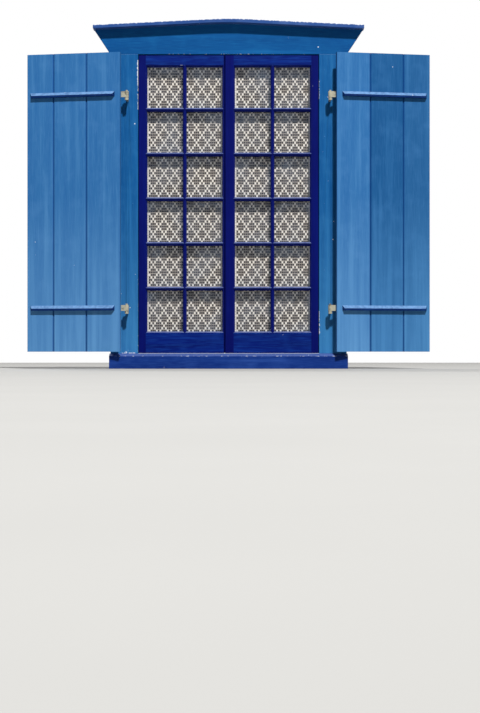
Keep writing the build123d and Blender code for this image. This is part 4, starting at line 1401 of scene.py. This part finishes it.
@dataclass
class Studio:
    """Plain pale floor, soft lamps and the camera at the photograph's viewing angle.

    Args:
        target: Middle of the picture, in the plane of the casings.
        distance: Distance of the camera from that plane.
        picture_height: Height of what the picture shows in that plane.
        key_way: Way to the key lamp.
        key_distance: Distance of both lamps.
        key_power: Power of the key lamp in watts.
        key_size: Width of the key lamp.
        fill: Strength of the light from all round.
        back_way: Way to the lamp that lights the side of the room.
        back_power: Power of that lamp in watts.
        back_size: Width of that lamp.
        floor_radius: Radius of the floor.
        floor_middle: Place of the floor's middle along Y.
        floor_gap: Distance of the floor under the sill.
    """

    target: Vector3 = (0.06, 0.0, 0.063)
    distance: float = 8.0
    picture_height: float = 3.743
    key_way: Vector3 = (0.27, -1.0, 1.3)
    key_distance: float = 20.0
    key_power: float = 5700.0
    key_size: float = 1.2
    fill: float = 0.09
    back_way: Vector3 = (-0.5, 1.0, 1.3)
    back_power: float = 1500.0
    back_size: float = 4.0
    floor_radius: float = 14.0
    floor_middle: float = -6.0
    floor_gap: float = 1 * MM

    FLOOR_SIDES = 96
    LAMPS_LOOK_AT = (0.0, 0.0, 0.9)
    # Width of the camera's sensor in millimetres, and how far it sees in metres
    SENSOR = 36.0
    SIGHT = 100.0

    def camera(self) -> None:
        """Set a level camera that looks along +Y."""
        camera = bpy.data.cameras.new("camera")
        camera.lens = self.SENSOR * self.distance / self.picture_height
        camera.sensor_width = self.SENSOR
        camera.clip_end = self.SIGHT
        viewer = bpy.data.objects.new("camera", camera)
        viewer.location = (self.target[0], -self.distance, self.target[2])
        viewer.rotation_euler = (math.pi / 2, 0, 0)
        bpy.context.scene.collection.objects.link(viewer)
        bpy.context.scene.camera = viewer

    def lamp(self, name: str, way: Vector3, power: float, size: float) -> None:
        """Hang a round lamp that looks at the window's middle.

        Args:
            name: Name of the lamp.
            way: Way to the lamp.
            power: Its power in watts.
            size: Its width.
        """
        light = bpy.data.lights.new(name, "AREA")
        light.shape = "DISK"
        light.energy = power
        light.size = size
        look = np.array(way) / np.linalg.norm(way)
        holder = bpy.data.objects.new(name, light)
        holder.location = (np.array(self.LAMPS_LOOK_AT) + look * self.key_distance).tolist()
        holder.rotation_euler = Vector(look.tolist()).to_track_quat("Z", "Y").to_euler()
        bpy.context.scene.collection.objects.link(holder)

    def world(self) -> None:
        """Light from all round at a plain level, and show white behind the window."""
        world = bpy.data.worlds.new("studio")
        bpy.context.scene.world = world
        world.use_nodes = True
        tree = world.node_tree
        tree.nodes.clear()
        path = add(tree, "LightPath").outputs
        seen = path["Is Camera Ray"]
        for name in ("Is Glossy Ray", "Is Transmission Ray"):
            seen = add(tree, "Math", {0: seen, 1: path[name]}, 0, operation="MAXIMUM")
        level = add(tree, "MapRange", {0: seen, 3: self.fill, 4: 1.0}, 0)
        sky = add(tree, "Background", {"Color": linear("#FFFFFF"), "Strength": level})
        add(tree, "OutputWorld", {"Surface": sky.outputs[0]})

    def floor(self) -> None:
        """Lay a plain pale disc just under the sill, as wide as the lamp lights evenly."""
        turn = np.linspace(0, 2 * math.pi, self.FLOOR_SIDES, endpoint=False)
        x, y = self.floor_radius * np.cos(turn), self.floor_middle + self.floor_radius * np.sin(turn)
        rim = np.stack([x, y, np.full_like(x, -self.floor_gap)], axis=1)
        mesh = bpy.data.meshes.new("floor")
        mesh.from_pydata(rim.tolist(), [], [tuple(range(self.FLOOR_SIDES))])
        mesh.materials.append(FLOOR_VINYL.material())
        floor = bpy.data.objects.new("floor", mesh)
        bpy.context.scene.collection.objects.link(floor)

    def build(self) -> None:
        """Build the whole studio."""
        bpy.context.scene.view_settings.view_transform = "Standard"
        self.camera()
        self.lamp("key", self.key_way, self.key_power, self.key_size)
        self.lamp("back", self.back_way, self.back_power, self.back_size)
        self.world()
        self.floor()


def main() -> None:
    """Build every sub-assembly in order."""
    logging.basicConfig(level=logging.INFO, format="%(name)s: %(message)s")
    Studio().build()
    window = Frame()
    window.dress()
    window.nails()
    for hand in Hand:
        Shutter(hand).dress()
        sash = Sash(hand)
        sash.dress()
        sash.foot_bead()
        sash.screws()
        curtain = Curtain(hand)
        curtain.lace()
        curtain.lining()
    bolt = Bolt()
    bolt.dress()
    bolt.screws()


if __name__ == "__main__":
    main()
